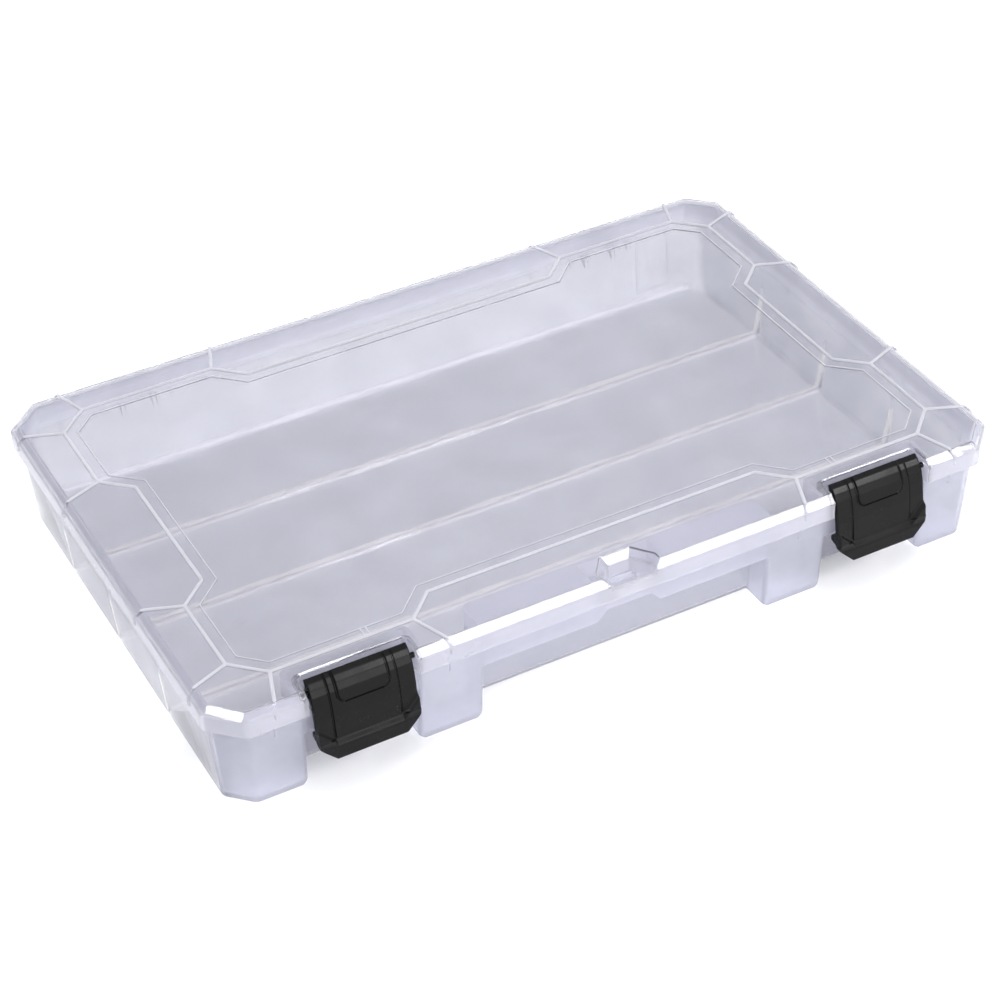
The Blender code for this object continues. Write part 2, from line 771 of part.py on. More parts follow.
def main():
    clear_scene()
    tray = build_tray()
    lid = build_lid()
    left = build_latch("latch_left", -1)
    right = build_latch("latch_right", 1)
    hinge = empty_at("hinge_axis", (0.0, HINGE_Y, HINGE_Z))
    bpy.context.view_layer.update()
    for obj in (lid, left, right):
        parent_keep(obj, hinge)
    tray.data.materials.append(clear_plastic("clear_tray", (0.80, 0.82, 0.90)))
    lid.data.materials.append(clear_plastic("clear_lid", (0.84, 0.86, 0.93)))
    black = black_plastic("black_latch")
    for latch in (left, right):
        latch.data.materials.append(black)
        latch.data.shade_smooth()
        latch.data.set_sharp_from_angle(angle=0.6)


main()
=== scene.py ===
"""Looks of the clear utility case: smooth mouldings, milky clear plastic and a white studio.

Lengths in the shape code are in millimetres, and MM turns them into metres. The
origin is on the table under the middle of the case. +X runs to the right along
the front, +Y to the hinge and +Z up.
"""

from math import cos, pi, radians, sin, sqrt, tan

import bmesh
import bpy
from mathutils import Matrix, Vector


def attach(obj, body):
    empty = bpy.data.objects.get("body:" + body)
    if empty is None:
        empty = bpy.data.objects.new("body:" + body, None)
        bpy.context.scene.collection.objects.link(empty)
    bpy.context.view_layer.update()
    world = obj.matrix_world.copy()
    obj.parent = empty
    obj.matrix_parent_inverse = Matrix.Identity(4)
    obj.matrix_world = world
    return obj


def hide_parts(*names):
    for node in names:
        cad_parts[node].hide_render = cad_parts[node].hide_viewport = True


MM = 0.001

# How far cutters reach past the front and over the top
FAR = 140.0
ABOVE = 60.0

# What a 45 degree corner cut loses per millimetre of inset, and the least rounding
CUT_SHRINK = 2 - sqrt(2)
LEAST_RADIUS = 1.2

# Lid
LID_TOP = 50.2
SKIRT_BOTTOM = 39.2
BEVEL = 3.2
WALL = 1.6
LID_HALF_X = 177.5
LID_HALF_Y = 116.0
LID_CORNER = 13.0
LID_RADIUS = 5.0
LID_EDGE = 0.55
LID_INNER_EDGE = 0.9

# Raised bead on the lid: corners of one quadrant, its round section and its ribs
BEAD_X = 159.2
BEAD_Y = 97.5
BEAD_X_IN = 147.2
BEAD_Y_IN = 85.6
CORNER_X = 146.5
CORNER_Y = 85.2
STEP_X = (74.7, 86.7)
STEP_Y = (34.6, 45.8)
BEAD_ARC = 1.6
BEAD_HALF_WIDTH = 0.78
BEAD_HEIGHT = 0.8
RIB_END_X = (79.8, 152.7)
RIB_END_Y = (38.7, 92.4)
RIB_DOWN = 2.4
NOSE_ROWS = 3
NOSE_STEP = 0.35

# Panel inside the bead, the hairline round it and the small marks
PANEL_INSET = 5.75
PANEL_DEPTH = 0.25
HAIRLINE_SCALE = 0.42
LADDER_X = (-105.7, 105.7)
LADDER_Y = (1.0 - BEAD_Y, 5.0 - BEAD_Y)
LADDER_SPREAD = 1.1
LADDER_HALF = 0.22
LADDER_HEIGHT = 0.28
MARK_RADII = (1.35, 1.9)
MARK_DEPTH = 0.06
EJECTOR_MARKS = ((-143.9, -64.9), (-122.3, 9.4), (85.0, -64.8), (122.3, 9.4))

# Latches and the notches that hold them
LATCH_X = 116.6
LATCH_HALF = 21.2
NOTCH_HALF = 23.0
NOTCH_BACK = -104.4
NOTCH_CORNER = 1.8
NOTCH_BEVEL = 0.8
PIVOT_Y = -110.8
PIVOT_Z = 45.6
PIN_RADIUS = 1.2
SOCKET_RADIUS = 1.5
PIN_REACH = 24.4
BARREL_RADIUS = 2.6

# Side view of a latch as (y, z): its face from top to bottom, then its inner side
LATCH_BOTTOM = 16.5
LATCH_OUTER = (
    (-108.7, 51.0), (-110.7, 49.9), (-112.6, 47.9), (-114.2, 45.1), (-115.4, 41.0),
    (-116.4, 35.0), (-117.4, 25.0), (-119.3, 22.6), (-119.6, LATCH_BOTTOM),
)
LATCH_INNER = (
    (-117.6, LATCH_BOTTOM), (-117.3, 21.9), (-115.3, 24.6), (-112.1, 25.3),
    (-112.1, 27.9), (-115.0, 28.3), (-114.3, 35.0), (-113.3, 40.6),
)
LATCH_BACK_TOP = (-107.9, 50.4)

# Relief of a latch's face: two grooves, the sunk borders outside them, the thumb
# pad with a moat round it, and the flared lip with its cut corners
GROOVE_X = 14.0
GROOVE_DEPTH = 0.55
BORDER_DEPTH = 0.22
PAD_HALF = 10.4
PAD_BOTTOM = 40.3
PAD_CORNER = 3.0
PAD_HEIGHT = 0.35
MOAT_AT = 3.4
MOAT_DEPTH = 0.5
LIP_TOP = 25.0
LIP_BEND = 22.6
LIP_FLARE = 1.9
LIP_CORNER = 6.8
SIDE_ROUND = 0.7
FOOT_ROUND = 0.6

# Columns of points over half a latch, crowded where the relief changes: the first
# place, the step and the count of each stretch
LATCH_COLUMNS = (
    (0.0, 2.5, 3), (7.0, 0.17, 24), (11.5, 1.0, 2), (13.1, 0.0, 1),
    (13.3, 0.12, 13), (15.1, 0.35, 15), (20.4, 0.1, 9),
)

# Padlock pocket: half widths at its back and its front, and where those lie
POCKET_HALF_X = (4.6, 10.0)
POCKET_Y = (-104.0, -111.0)
POCKET_FLOOR = 41.3
POCKET_BAR = 44.9
POCKET_HOLE_X = 5.6
POCKET_HOLE_Y = (-112.2, -105.0)

# Tray: pairs give the value at the table and at the rim's shoulder
TRAY_TOP = 47.6
RIM_SHOULDER = 46.0
TRAY_HALF_X = (171.8, 175.0)
TRAY_FRONT = (-109.8, -113.6)
TRAY_REAR = (110.8, 113.6)
TRAY_CORNER = (10.0, 12.0)
TRAY_RADIUS = 4.4
TRAY_EDGE = 1.2
FLOOR = 1.8
INNER_EDGE = 1.8
RIM_THIN_FROM = 44.5
RIM_THIN = 0.8
BLOCK_FOOT = 1.5
BLOCK_RADIUS = 2.4

# Front of the tray: recesses between its pillars, the apron and the catches
RECESS_Y = (-97.2, -98.8)
RECESS_MID_X = 64.6
RECESS_LATCH_X = (92.8, 140.0)
PILLAR_FOOT = 3.2
PILLAR_EDGE = 2.2
APRON_BOTTOM = 28.3
APRON_INNER = -110.4
APRON_GAP = (10.0, 14.2, 33.3)
LATCH_LEDGE = 38.7
LATCH_ZONE_X = (91.4, 141.8)
CATCH_Y = -111.5
LOCK_ZONE_X = 16.0
LOCK_SHELF = 39.0
LOCK_SLOT_HALF = POCKET_HOLE_X + 1.0
LOCK_SLOT_Y = (POCKET_HOLE_Y[0] + 1.8, POCKET_HOLE_Y[1] + 0.6)

# Floor ribs: half width at the foot, half width of the crest, height
FLOOR_RIBS_Y = (-46.0, 6.0, 58.0)
FLOOR_RIB = (2.3, 1.0, 1.7)
FLOOR_RIB_END = 170.4

# Ribs up the end walls: x at the foot of each rib, and how far it leans out above
WALL_RIB_TOP = 29.0
WALL_RIB_ROOT = (171.0, 1.8)
WALL_RIB_TIP = (168.0, 4.5)

# Grooves under the ribs: (half width, height) pairs of the section under the floor,
# and (mouth x, bottom x, half width, height) of the wedge in an end wall
UNDER_GROOVE = ((1.9, -1.0), (1.5, 0.0), (0.5, 1.2))
UNDER_GROOVE_END = 169.0
END_GROOVE = ((174.0, 170.9, 2.9, -1.0), (175.2, 173.4, 0.3, 23.0))

# Gate marks, ticks under the rim, and the outline on the rear wall
GATE_X = (-74.3, 132.2)
GATE_RADII = (0.7, 1.5)
GATE_HEIGHT = 0.35
TICK_X = (79.4, 152.7)
TICK_Y = (39.5, 92.0)
TICK_WALL_X = 174.6
TICK_WALLS_Y = ((-1, -113.3), (1, 113.4))
TICK_LOW = 32.6
TICK_HALF = 0.6
TICK_HEIGHT = 0.35
REAR_FRAME_X = (136.0, 154.0)
REAR_FRAME_Z = (6.0, 38.5)
REAR_FRAME_WIDTH = 0.9
REAR_FRAME_HEIGHT = 0.3

# Rear hinge
HINGE_X = 116.5
HINGE_Y = 118.5
HINGE_Z = 37.2
HINGE_PIN_RADIUS = 1.2
HINGE_BORE_RADIUS = 1.5
KNUCKLE_RADIUS = 2.6
KNUCKLE_HALF = 5.8
KNUCKLE_ROOT_Y = 115.2
KNUCKLE_SHOULDER = (116.4, 45.4)
MOUTH_HALF = (7.0, 1.0)
CHEEK_IN = 6.3
CHEEK_OUT = 8.3
CHEEK_RADIUS = 2.2
CHEEK_LOW = 27.5
CHEEK_SHOULDER_Y = 116.9
TRAY_ROOT_Y = 112.0
GUSSETS_X = (101.2, 131.8)
GUSSET_HALF = 0.7
GUSSET_OUT_Y = 115.6
GUSSET_Z = (29.0, 36.5)

# Middle stretch of a noise texture's values, where most of them lie
NOISE_SPAN = (0.3, 0.7)

# Clear plastic: tints by noise value, and colours of the milky share by whiteness; the white end of
# each milk ramp is a painted highlight on the beads and the tray's ribs
PLASTIC_IOR = 1.49
ROUGH_RANGE = (0.025, 0.065)
CLOUD_RANGE = (-0.02, 0.035)
LAMP_TINT = (0.975, 0.975, 0.98, 1)
LID_SHINE = 0.5
LID_TINT = ((0.0, (0.80, 0.80, 0.84)), (0.3, (0.84, 0.84, 0.875)), (0.7, (0.87, 0.87, 0.90)))
LID_MILK_AND_HIGHLIGHT = ((0.0, (0.46, 0.455, 0.50)), (1.0, (0.88, 0.88, 0.93)))
TRAY_SHINE = 0.3
TRAY_TINT = ((0.0, (0.55, 0.557, 0.62)), (0.3, (0.81, 0.812, 0.86)), (0.7, (0.84, 0.842, 0.885)))
TRAY_MILK_AND_HIGHLIGHT = (
    (0.0, (0.44, 0.44, 0.49)), (0.3, (0.74, 0.745, 0.83)),
    (0.6, (0.80, 0.80, 0.87)), (1.0, (0.98, 0.96, 0.93)),
)

# Share of the light that each part of the clear plastic scatters; the high share on the beads and the
# tray's ribs is partly real cloudiness and partly a painted highlight
LID_HAZE = 0.07
SKIRT_HAZE = 0.30
BEAD_HIGHLIGHT_HAZE = 0.70
TRAY_HAZE = 0.15
RIB_HIGHLIGHT_HAZE = 0.80

# Whiteness of that share, from 0 for thin panels to 1 for ribs, where the whitest share is a painted
# highlight and the whiter front of the tray painted light, and how far the tint of the skirt and of
# the end walls falls back to its first stop, which on the end walls is a painted shade
SKIRT_WHITE = 0.7
RIM_WHITE = 0.6
FRONT_PAINTED_LIGHT = 0.30
REAR_FOOT_HIGHLIGHT = 0.9
SKIRT_DIM = 0.05
END_PAINTED_SHADE = 0.42

# Black plastic
BLACK_TONES = ((0.35, (0.003, 0.003, 0.0033)), (0.7, (0.0055, 0.0055, 0.006)))
BLACK_ROUGH_RANGE = (0.20, 0.34)
BLACK_SHINE = 0.17

# Studio: the lights give name, direction they come from, distance in metres, size
# in metres and power in watts
CAMERA_PLACE = (-0.39256, -0.77768, 0.67861)
CAMERA_ANGLES = (-26.886, 37.56, -2.322)
LENS = 92.15
SENSOR = 36.0
FLOOR_HALF = 6.0
FLOOR_GAP = 0.0005
FLOOR_WHITE = (0.97, 0.97, 0.97, 1)
SKY_COLOUR = (0.97, 0.975, 1.0, 1)
SKY_STRENGTH = 1.04
LIGHTS = (
    ("key_right", (0.40, -0.655, 0.642), 1.8, (0.72, 0.34), 11.5),
    ("key_left", (-0.73, -0.27, 0.63), 1.88, (0.28, 0.22), 3.4),
    ("fill_front", (0.15, -0.95, 0.28), 1.6, (1.2, 0.5), 6.0),
)

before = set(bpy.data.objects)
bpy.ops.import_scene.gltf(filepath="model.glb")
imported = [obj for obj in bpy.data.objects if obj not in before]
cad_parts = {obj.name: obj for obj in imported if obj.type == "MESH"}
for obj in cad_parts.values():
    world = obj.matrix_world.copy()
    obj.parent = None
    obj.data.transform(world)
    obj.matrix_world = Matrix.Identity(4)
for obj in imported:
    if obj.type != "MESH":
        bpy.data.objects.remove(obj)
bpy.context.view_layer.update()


# ---------------------------------------------------------------- mesh helpers

def link(obj):
    bpy.context.scene.collection.objects.link(obj)
    return obj


def object_from(bm, name):
    """Closes a mesh made in millimetres into an object in metres."""
    bmesh.ops.recalc_face_normals(bm, faces=bm.faces)
    bmesh.ops.triangulate(bm, faces=[f for f in bm.faces if len(f.verts) > 4])
    bmesh.ops.scale(bm, vec=Vector((MM, MM, MM)), verts=bm.verts)
    mesh = bpy.data.meshes.new(name)
    bm.to_mesh(mesh)
    bm.free()
    return link(bpy.data.objects.new(name, mesh))


def add_loft(bm, rings):
    """Closed skin through rings that have the same number of points."""
    loops = [[bm.verts.new(p) for p in ring] for ring in rings]
    count = len(loops[0])
    for low, high in zip(loops, loops[1:]):
        for i in range(count):
            j = (i + 1) % count
            bm.faces.new((low[i], low[j], high[j], high[i]))
    bm.faces.new(list(reversed(loops[0])))
    bm.faces.new(loops[-1])


def level(points, z):
    return [(x, y, z) for x, y in points]


def loft_solid(name, rings):
    bm = bmesh.new()
    add_loft(bm, rings)
    return object_from(bm, name)


def add_bar(bm, profile, x_low, x_high):
    """Bar along x whose section is a (y, z) profile."""
    add_loft(bm, [[(x, y, z) for y, z in profile] for x in (x_low, x_high)])


def box_solid(name, low, high):
    bm = bmesh.new()
    corners = [(low[0], low[1]), (high[0], low[1]), (high[0], high[1]), (low[0], high[1])]
    add_loft(bm, [level(corners, low[2]), level(corners, high[2])])
    return object_from(bm, name)


def circle(centre, radius, count):
    turn = [2 * pi * i / count for i in range(count)]
    return [(centre[0] + radius * cos(a), centre[1] + radius * sin(a)) for a in turn]


def combine(obj, other, operation):
    """Boolean of two closed meshes; the second is used up."""
    mod = obj.modifiers.new(operation, "BOOLEAN")
    mod.operation = operation
    mod.solver = "MANIFOLD"
    mod.object = other
    bake(obj)
    bpy.data.objects.remove(other)


def bake(obj):
    """Turns the modifiers' result into the object's own mesh."""
    graph = bpy.context.evaluated_depsgraph_get()
    mesh = bpy.data.meshes.new_from_object(obj.evaluated_get(graph))
    obj.modifiers.clear()
    obj.data = mesh


def cut(obj, other):
    combine(obj, other, "DIFFERENCE")


def join(obj, other):
    combine(obj, other, "UNION")


# ---------------------------------------------------------------- outlines

def arc_corner(before, here, after, radius, steps):
    """Points of the arc that eases one corner of a flat outline."""
    here = Vector(here)
    to_last = Vector(before) - here
    to_next = Vector(after) - here
    room = 0.49 * min(to_last.length, to_next.length)
    to_last.normalize()
    to_next.normalize()
    half = to_last.angle(to_next) / 2
    if half > pi / 2 - 0.01:
        return [tuple(here)]
    reach = min(radius / tan(half), room)
    radius = reach * tan(half)
    centre = here + (to_last + to_next).normalized() * (radius / sin(half))
    start = (here + to_last * reach - centre).normalized()
    end = (here + to_next * reach - centre).normalized()
    return [tuple(centre + start.slerp(end, k / steps) * radius) for k in range(steps + 1)]


def rounded(points, radius, steps=6):
    """A closed outline with its corners eased."""
    out = []
    for i, here in enumerate(points):
        after = points[(i + 1) % len(points)]
        out += arc_corner(points[i - 1], here, after, radius, steps)
    return out


def eased(points, radius, steps=5):
    """As rounded, for an open line, whose ends stay."""
    out = [tuple(points[0])]
    for before, here, after in zip(points, points[1:], points[2:]):
        out += arc_corner(before, here, after, radius, steps)
    return out + [tuple(points[-1])]


def chamfered(half_x, y_front, y_rear, cut_size, radius):
    """Rectangle with cut corners, each end of a cut eased."""
    corners = [
        (-half_x + cut_size, y_front), (half_x - cut_size, y_front),
        (half_x, y_front + cut_size), (half_x, y_rear - cut_size),
        (half_x - cut_size, y_rear), (-half_x + cut_size, y_rear),
        (-half_x, y_rear - cut_size), (-half_x, y_front + cut_size),
    ]
    return rounded(corners, radius)


def lid_outline(inset):
    half_y = LID_HALF_Y - inset
    cut_size = LID_CORNER - inset * CUT_SHRINK
    radius = max(LID_RADIUS - inset, LEAST_RADIUS)
    return chamfered(LID_HALF_X - inset, -half_y, half_y, cut_size, radius)


def bead_outline():
    """Twenty-four corners of the bead, counter-clockwise."""
    quadrant = [
        (BEAD_X_IN, STEP_Y[0]), (BEAD_X, STEP_Y[1]), (BEAD_X, CORNER_Y),
        (CORNER_X, BEAD_Y), (STEP_X[1], BEAD_Y), (STEP_X[0], BEAD_Y_IN),
    ]
    rear = quadrant + [(-x, y) for x, y in reversed(quadrant)]
    return rear + [(-x, -y) for x, y in rear]


def offset_outline(points, distance):
    """A closed outline moved outward, or inward for a negative distance."""
    out = []
    count = len(points)
    for i in range(count):
        a, b, c = (Vector(points[(i + k) % count]) for k in (-1, 0, 1))
        first = (b - a).normalized()
        second = (c - b).normalized()
        n1 = Vector((first.y, -first.x))
        n2 = Vector((second.y, -second.x))
        out.append(tuple(b + (n1 + n2) / (1 + n1.dot(n2)) * distance))
    return out


# ---------------------------------------------------------------- tray

def tray_outline(z, inset):
    """Outer wall of the tray at height z, drawn in by inset."""
    t = z / RIM_SHOULDER
    half_x, front, rear, cut_size = (
        low + t * (high - low) for low, high in (TRAY_HALF_X, TRAY_FRONT, TRAY_REAR, TRAY_CORNER)
    )
    cut_size -= inset * CUT_SHRINK
    radius = max(TRAY_RADIUS - inset, LEAST_RADIUS)
    return chamfered(half_x - inset, front + inset, rear - inset, cut_size, radius)


def tray_loft(name, profile):
    """Solid that follows the tray's walls through (inset, height) pairs."""
    return loft_solid(name, [level(tray_outline(z, i), z) for i, z in profile])


def fillet(radius, steps=6):
    """Height and outward growth of each row of a rounded foot."""
    angles = [pi / 2 * k / steps for k in range(steps + 1)]
    return [(radius * (1 - cos(a)), radius * (1 - sin(a))) for a in angles]


def recess_wall_y(z):
    return RECESS_Y[0] + (RECESS_Y[1] - RECESS_Y[0]) * z / TRAY_TOP


def wall_block(x_low, x_high, z_low, extra=0.0):
    """Solid left standing in the hollow round one recess, with a flared foot."""
    rings = []
    rows = [(z_low, BLOCK_FOOT)] if z_low < 0 else [(z_low, 0.0)]
    if z_low < 0:
        rows += [(FLOOR + z, grow) for z, grow in fillet(BLOCK_FOOT)]
    for z, grow in rows + [(ABOVE, 0.0)]:
        back = recess_wall_y(z) + WALL + extra + grow
        low, high = x_low - grow, x_high + grow
        plan = rounded([(low, -FAR), (high, -FAR), (high, back), (low, back)], BLOCK_RADIUS, 4)
        rings.append(level(plan, z))
    return loft_solid("block", rings)


def tray_hollow():
    hollow = tray_loft("hollow", eased([
        (WALL + 4.0, FLOOR), (WALL, FLOOR), (WALL, RIM_THIN_FROM),
        (WALL + RIM_THIN, TRAY_TOP + 0.4), (WALL + RIM_THIN, TRAY_TOP + 6.4),
    ], INNER_EDGE))
    cut(hollow, wall_block(-RECESS_MID_X - WALL, RECESS_MID_X + WALL, -5.0))
    for side in (-1, 1):
        low, high = sorted(side * x for x in (RECESS_LATCH_X[0] - WALL, RECESS_LATCH_X[1] + WALL))
        cut(hollow, wall_block(low, high, -5.0))
        low, high = sorted(side * x for x in (LATCH_ZONE_X[0] - WALL, LATCH_ZONE_X[1] + WALL))
        cut(hollow, wall_block(low, high, LATCH_LEDGE - WALL, 0.3))
    return hollow


def recess_cutter(x_low, x_high):
    """Open part of a recess, below the apron, between round-edged pillars."""
    rings = []
    rows = [(-2.0, PILLAR_FOOT)] + fillet(PILLAR_FOOT) + [(APRON_BOTTOM, 0.0)]
    turns = [pi / 2 * k / 6 for k in range(7)]
    for z, grow in rows:
        face = TRAY_FRONT[0] + z / RIM_SHOULDER * (TRAY_FRONT[1] - TRAY_FRONT[0]) + PILLAR_EDGE
        back = recess_wall_y(z) + grow
        low, high = x_low - grow, x_high + grow
        left = [(low - PILLAR_EDGE * (1 - cos(a)), face - PILLAR_EDGE * sin(a)) for a in turns]
        right = [(high + PILLAR_EDGE * (1 - cos(a)), face - PILLAR_EDGE * sin(a)) for a in turns]
        plan = arc_corner(left[0], (low, back), (high, back), 1.0, 3)[::-1] + left
        plan += [(left[-1][0], -FAR), (right[-1][0], -FAR)] + right[::-1]
        plan += arc_corner((low, back), (high, back), right[0], 1.0, 3)[::-1]
        rings.append(level(plan, z))
    return loft_solid("recess", rings)


def apron_pocket(x_low, x_high, apron_inner, z_high):
    rings = []
    for z in (APRON_BOTTOM - 1.0, z_high):
        back = recess_wall_y(z)
        plan = [(x_low, apron_inner), (x_high, apron_inner), (x_high, back), (x_low, back)]
        rings.append(level(plan, z))
    return loft_solid("apron_pocket", rings)


def cut_front(tray):
    cut(tray, recess_cutter(-RECESS_MID_X, RECESS_MID_X))
    lock = LOCK_ZONE_X + WALL
    cut(tray, apron_pocket(-RECESS_MID_X, -lock, APRON_INNER, TRAY_TOP - WALL))
    cut(tray, apron_pocket(lock, RECESS_MID_X, APRON_INNER, TRAY_TOP - WALL))
    cut(tray, apron_pocket(-lock - 0.5, lock + 0.5, APRON_INNER, LOCK_SHELF - WALL))
    for side in (-1, 1):
        low, high = sorted(side * x for x in RECESS_LATCH_X)
        cut(tray, recess_cutter(low, high))
        cut(tray, apron_pocket(low, high, CATCH_Y + WALL, LATCH_LEDGE - WALL))
        corner = (low, -FAR, APRON_BOTTOM - 3.0)
        cut(tray, box_solid("face", corner, (high, CATCH_Y, LATCH_LEDGE + 2.0)))
        low, high = sorted(side * x for x in LATCH_ZONE_X)
        back = recess_wall_y(TRAY_TOP)
        plan = rounded([(low, -FAR), (high, -FAR), (high, back), (low, back)], 1.6, 4)
        cut(tray, loft_solid("ledge", [level(plan, z) for z in (LATCH_LEDGE, ABOVE)]))


def cut_lock_zone(tray):
    """Sunk shelf under the padlock pocket, its slot and the gap in the apron."""
    back = recess_wall_y(TRAY_TOP)
    cut(tray, box_solid("sunk", (-LOCK_ZONE_X, -FAR, LOCK_SHELF), (LOCK_ZONE_X, back, ABOVE)))
    half, (low, high) = LOCK_SLOT_HALF, LOCK_SLOT_Y
    cut(tray, box_solid("lock_slot", (-half, low, 30.0), (half, high, 44.0)))
    top_half, low_half, z_top = APRON_GAP
    past = 2.0
    wide = low_half + past * (low_half - top_half) / (z_top - APRON_BOTTOM)
    low = APRON_BOTTOM - past
    plan = [(-wide, low), (wide, low), (top_half, z_top), (-top_half, z_top)]
    plan = rounded(plan, 1.6, 4)
    rings = [[(x, y, z) for x, z in plan] for y in (-FAR, APRON_INNER + 3.4)]
    cut(tray, loft_solid("apron_gap", rings))


def floor_rib_profile(y):
    """Section of a floor rib that runs out flat into the floor."""
    foot, crest, height = FLOOR_RIB
    low = FLOOR - 0.5
    top = eased([
        (y + foot + 0.6, FLOOR - 0.01), (y + foot, FLOOR), (y + crest, FLOOR + height),
        (y - crest, FLOOR + height), (y - foot, FLOOR), (y - foot - 0.6, FLOOR - 0.01),
    ], 0.8, 4)
    return [(y - foot - 0.6, low), (y + foot + 0.6, low)] + top


def wall_rib(y, side):
    """Rib on an end wall that tapers to nothing at the top."""
    foot, crest = FLOOR_RIB[:2]
    rings = []
    for k in range(9):
        t = k / 8
        width = (1 - t) * (foot - 0.3) + t * 0.25
        tip = (1 - t) * crest + t * 0.12
        x_wall = side * (WALL_RIB_ROOT[0] + WALL_RIB_ROOT[1] * t)
        x_tip = side * (WALL_RIB_TIP[0] + WALL_RIB_TIP[1] * t)
        plan = [(x_wall, y - width), (x_tip, y - tip), (x_tip, y + tip), (x_wall, y + width)]
        rings.append(level(plan, 1.0 + (WALL_RIB_TOP - 1.0) * t))
    return loft_solid("wall_rib", rings)


def under_groove_profile(y):
    """Section of the groove under a floor rib."""
    before = [(y - half, z) for half, z in UNDER_GROOVE]
    after = [(y + half, z) for half, z in UNDER_GROOVE]
    return before[:1] + after + before[:0:-1]


def end_groove(y, side):
    """Wedge cut out of an end wall behind its rib, fading out upwards."""
    rings = []
    for mouth, bottom, half, z in END_GROOVE:
        plan = [(side * mouth, y - half), (side * mouth, y + half), (side * bottom, y)]
        rings.append(level(plan, z))
    return loft_solid("end_groove", rings)


def add_ribs_and_grooves(tray):
    for y in FLOOR_RIBS_Y:
        bm = bmesh.new()
        add_bar(bm, floor_rib_profile(y), -FLOOR_RIB_END, FLOOR_RIB_END)
        join(tray, object_from(bm, "floor_rib"))
        for side in (-1, 1):
            join(tray, wall_rib(y, side))
        bm = bmesh.new()
        add_bar(bm, under_groove_profile(y), -UNDER_GROOVE_END, UNDER_GROOVE_END)
        cut(tray, object_from(bm, "under_groove"))
        for side in (-1, 1):
            cut(tray, end_groove(y, side))


def disc_solid(name, centre, radius, z_low, z_high):
    """Low round boss with an eased edge."""
    rings = [level(circle(centre, radius, 24), z) for z in (z_low, z_high - 0.15)]
    rings.append(level(circle(centre, radius - 0.15, 24), z_high))
    return loft_solid(name, rings)


def add_gate_marks(tray):
    """Round bosses with a small pit, on the rearmost floor rib."""
    crest = FLOOR + FLOOR_RIB[2]
    pit, boss = GATE_RADII
    for x in GATE_X:
        centre = (x, FLOOR_RIBS_Y[-1])
        join(tray, disc_solid("gate", centre, boss, FLOOR, crest + GATE_HEIGHT))
        cut(tray, disc_solid("gate_pip", centre, pit, crest, crest + 1.0))


def tick_solid(x, y, out_x, out_y):
    """Short upright rib under the rim, proud of the wall, with a round foot."""
    rings = []
    rows = [(TICK_LOW + z, grow) for z, grow in fillet(0.5, 4)] + [(SKIRT_BOTTOM - 0.6, 0.0)]
    for z, grow in rows:
        half = TICK_HALF - TICK_HALF * grow
        lift = TICK_HEIGHT - 0.5 * grow
        section = [
            (-half, -WALL), (half, -WALL), (half, lift - 0.2), (half - 0.2, lift),
            (0.2 - half, lift), (-half, lift - 0.2),
        ]
        plan = []
        for across, out in section:
            plan.append((x + across * out_y + out * out_x, y - across * out_x + out * out_y))
        rings.append(level(plan, z))
    return loft_solid("tick", rings)


def add_ticks(tray):
    for sx in (-1, 1):
        for x in TICK_X:
            for sy, wall in TICK_WALLS_Y:
                join(tray, tick_solid(sx * x, wall, 0, sy))
        for y in TICK_Y:
            for sy in (-1, 1):
                join(tray, tick_solid(sx * TICK_WALL_X, sy * y, sx, 0))


def rear_line(low, high):
    """Low ridge on the leaning rear wall between two (x, z) corners."""
    rings = []
    for z in (low[1], high[1]):
        wall = TRAY_REAR[0] + z / RIM_SHOULDER * (TRAY_REAR[1] - TRAY_REAR[0])
        near, out = wall - WALL / 2, wall + REAR_FRAME_HEIGHT
        plan = [(low[0], near), (high[0], near), (high[0], out), (low[0], out)]
        rings.append(level(plan, z))
    return loft_solid("rear_line", rings)


def add_rear_frame(tray):
    """Three-sided raised outline low on the rear wall."""
    (left, right), (low, high), width = REAR_FRAME_X, REAR_FRAME_Z, REAR_FRAME_WIDTH
    join(tray, rear_line((left, low), (left + width, high)))
    join(tray, rear_line((right - width, low), (right, high)))
    join(tray, rear_line((left + 0.1, low + 0.1), (right - 0.1, low + width)))


def hinge_cheek_profile():
    """Side view of a hinge cheek: a web from the rear wall to the pin."""
    top = SKIRT_BOTTOM - 0.5
    profile = [(TRAY_ROOT_Y, CHEEK_LOW), (TRAY_ROOT_Y, top), (CHEEK_SHOULDER_Y, top)]
    for step in range(15):
        angle = pi * (0.62 - 0.95 * step / 14)
        profile.append((HINGE_Y + CHEEK_RADIUS * cos(angle), HINGE_Z + CHEEK_RADIUS * sin(angle)))
    return profile


def add_tray_hinges(tray):
    """Hinge pins between their cheeks, and the gussets beside them."""
    pin = circle((HINGE_Y, HINGE_Z), HINGE_PIN_RADIUS, 32)
    top = SKIRT_BOTTOM - 0.6
    foot, end = GUSSET_Z
    web = [(TRAY_ROOT_Y, foot), (TRAY_ROOT_Y, top), (GUSSET_OUT_Y, top), (GUSSET_OUT_Y, end)]
    for side in (-1, 1):
        middle = side * HINGE_X
        bars = [(pin, middle - CHEEK_IN - 0.8, middle + CHEEK_IN + 0.8)]
        for inner, outer in ((CHEEK_IN, CHEEK_OUT), (-CHEEK_OUT, -CHEEK_IN)):
            bars.append((hinge_cheek_profile(), middle + inner, middle + outer))
        for x in GUSSETS_X:
            bars.append((web, side * x - GUSSET_HALF, side * x + GUSSET_HALF))
        for profile, low, high in bars:
            bm = bmesh.new()
            add_bar(bm, profile, low, high)
            join(tray, object_from(bm, "hinge_bar"))


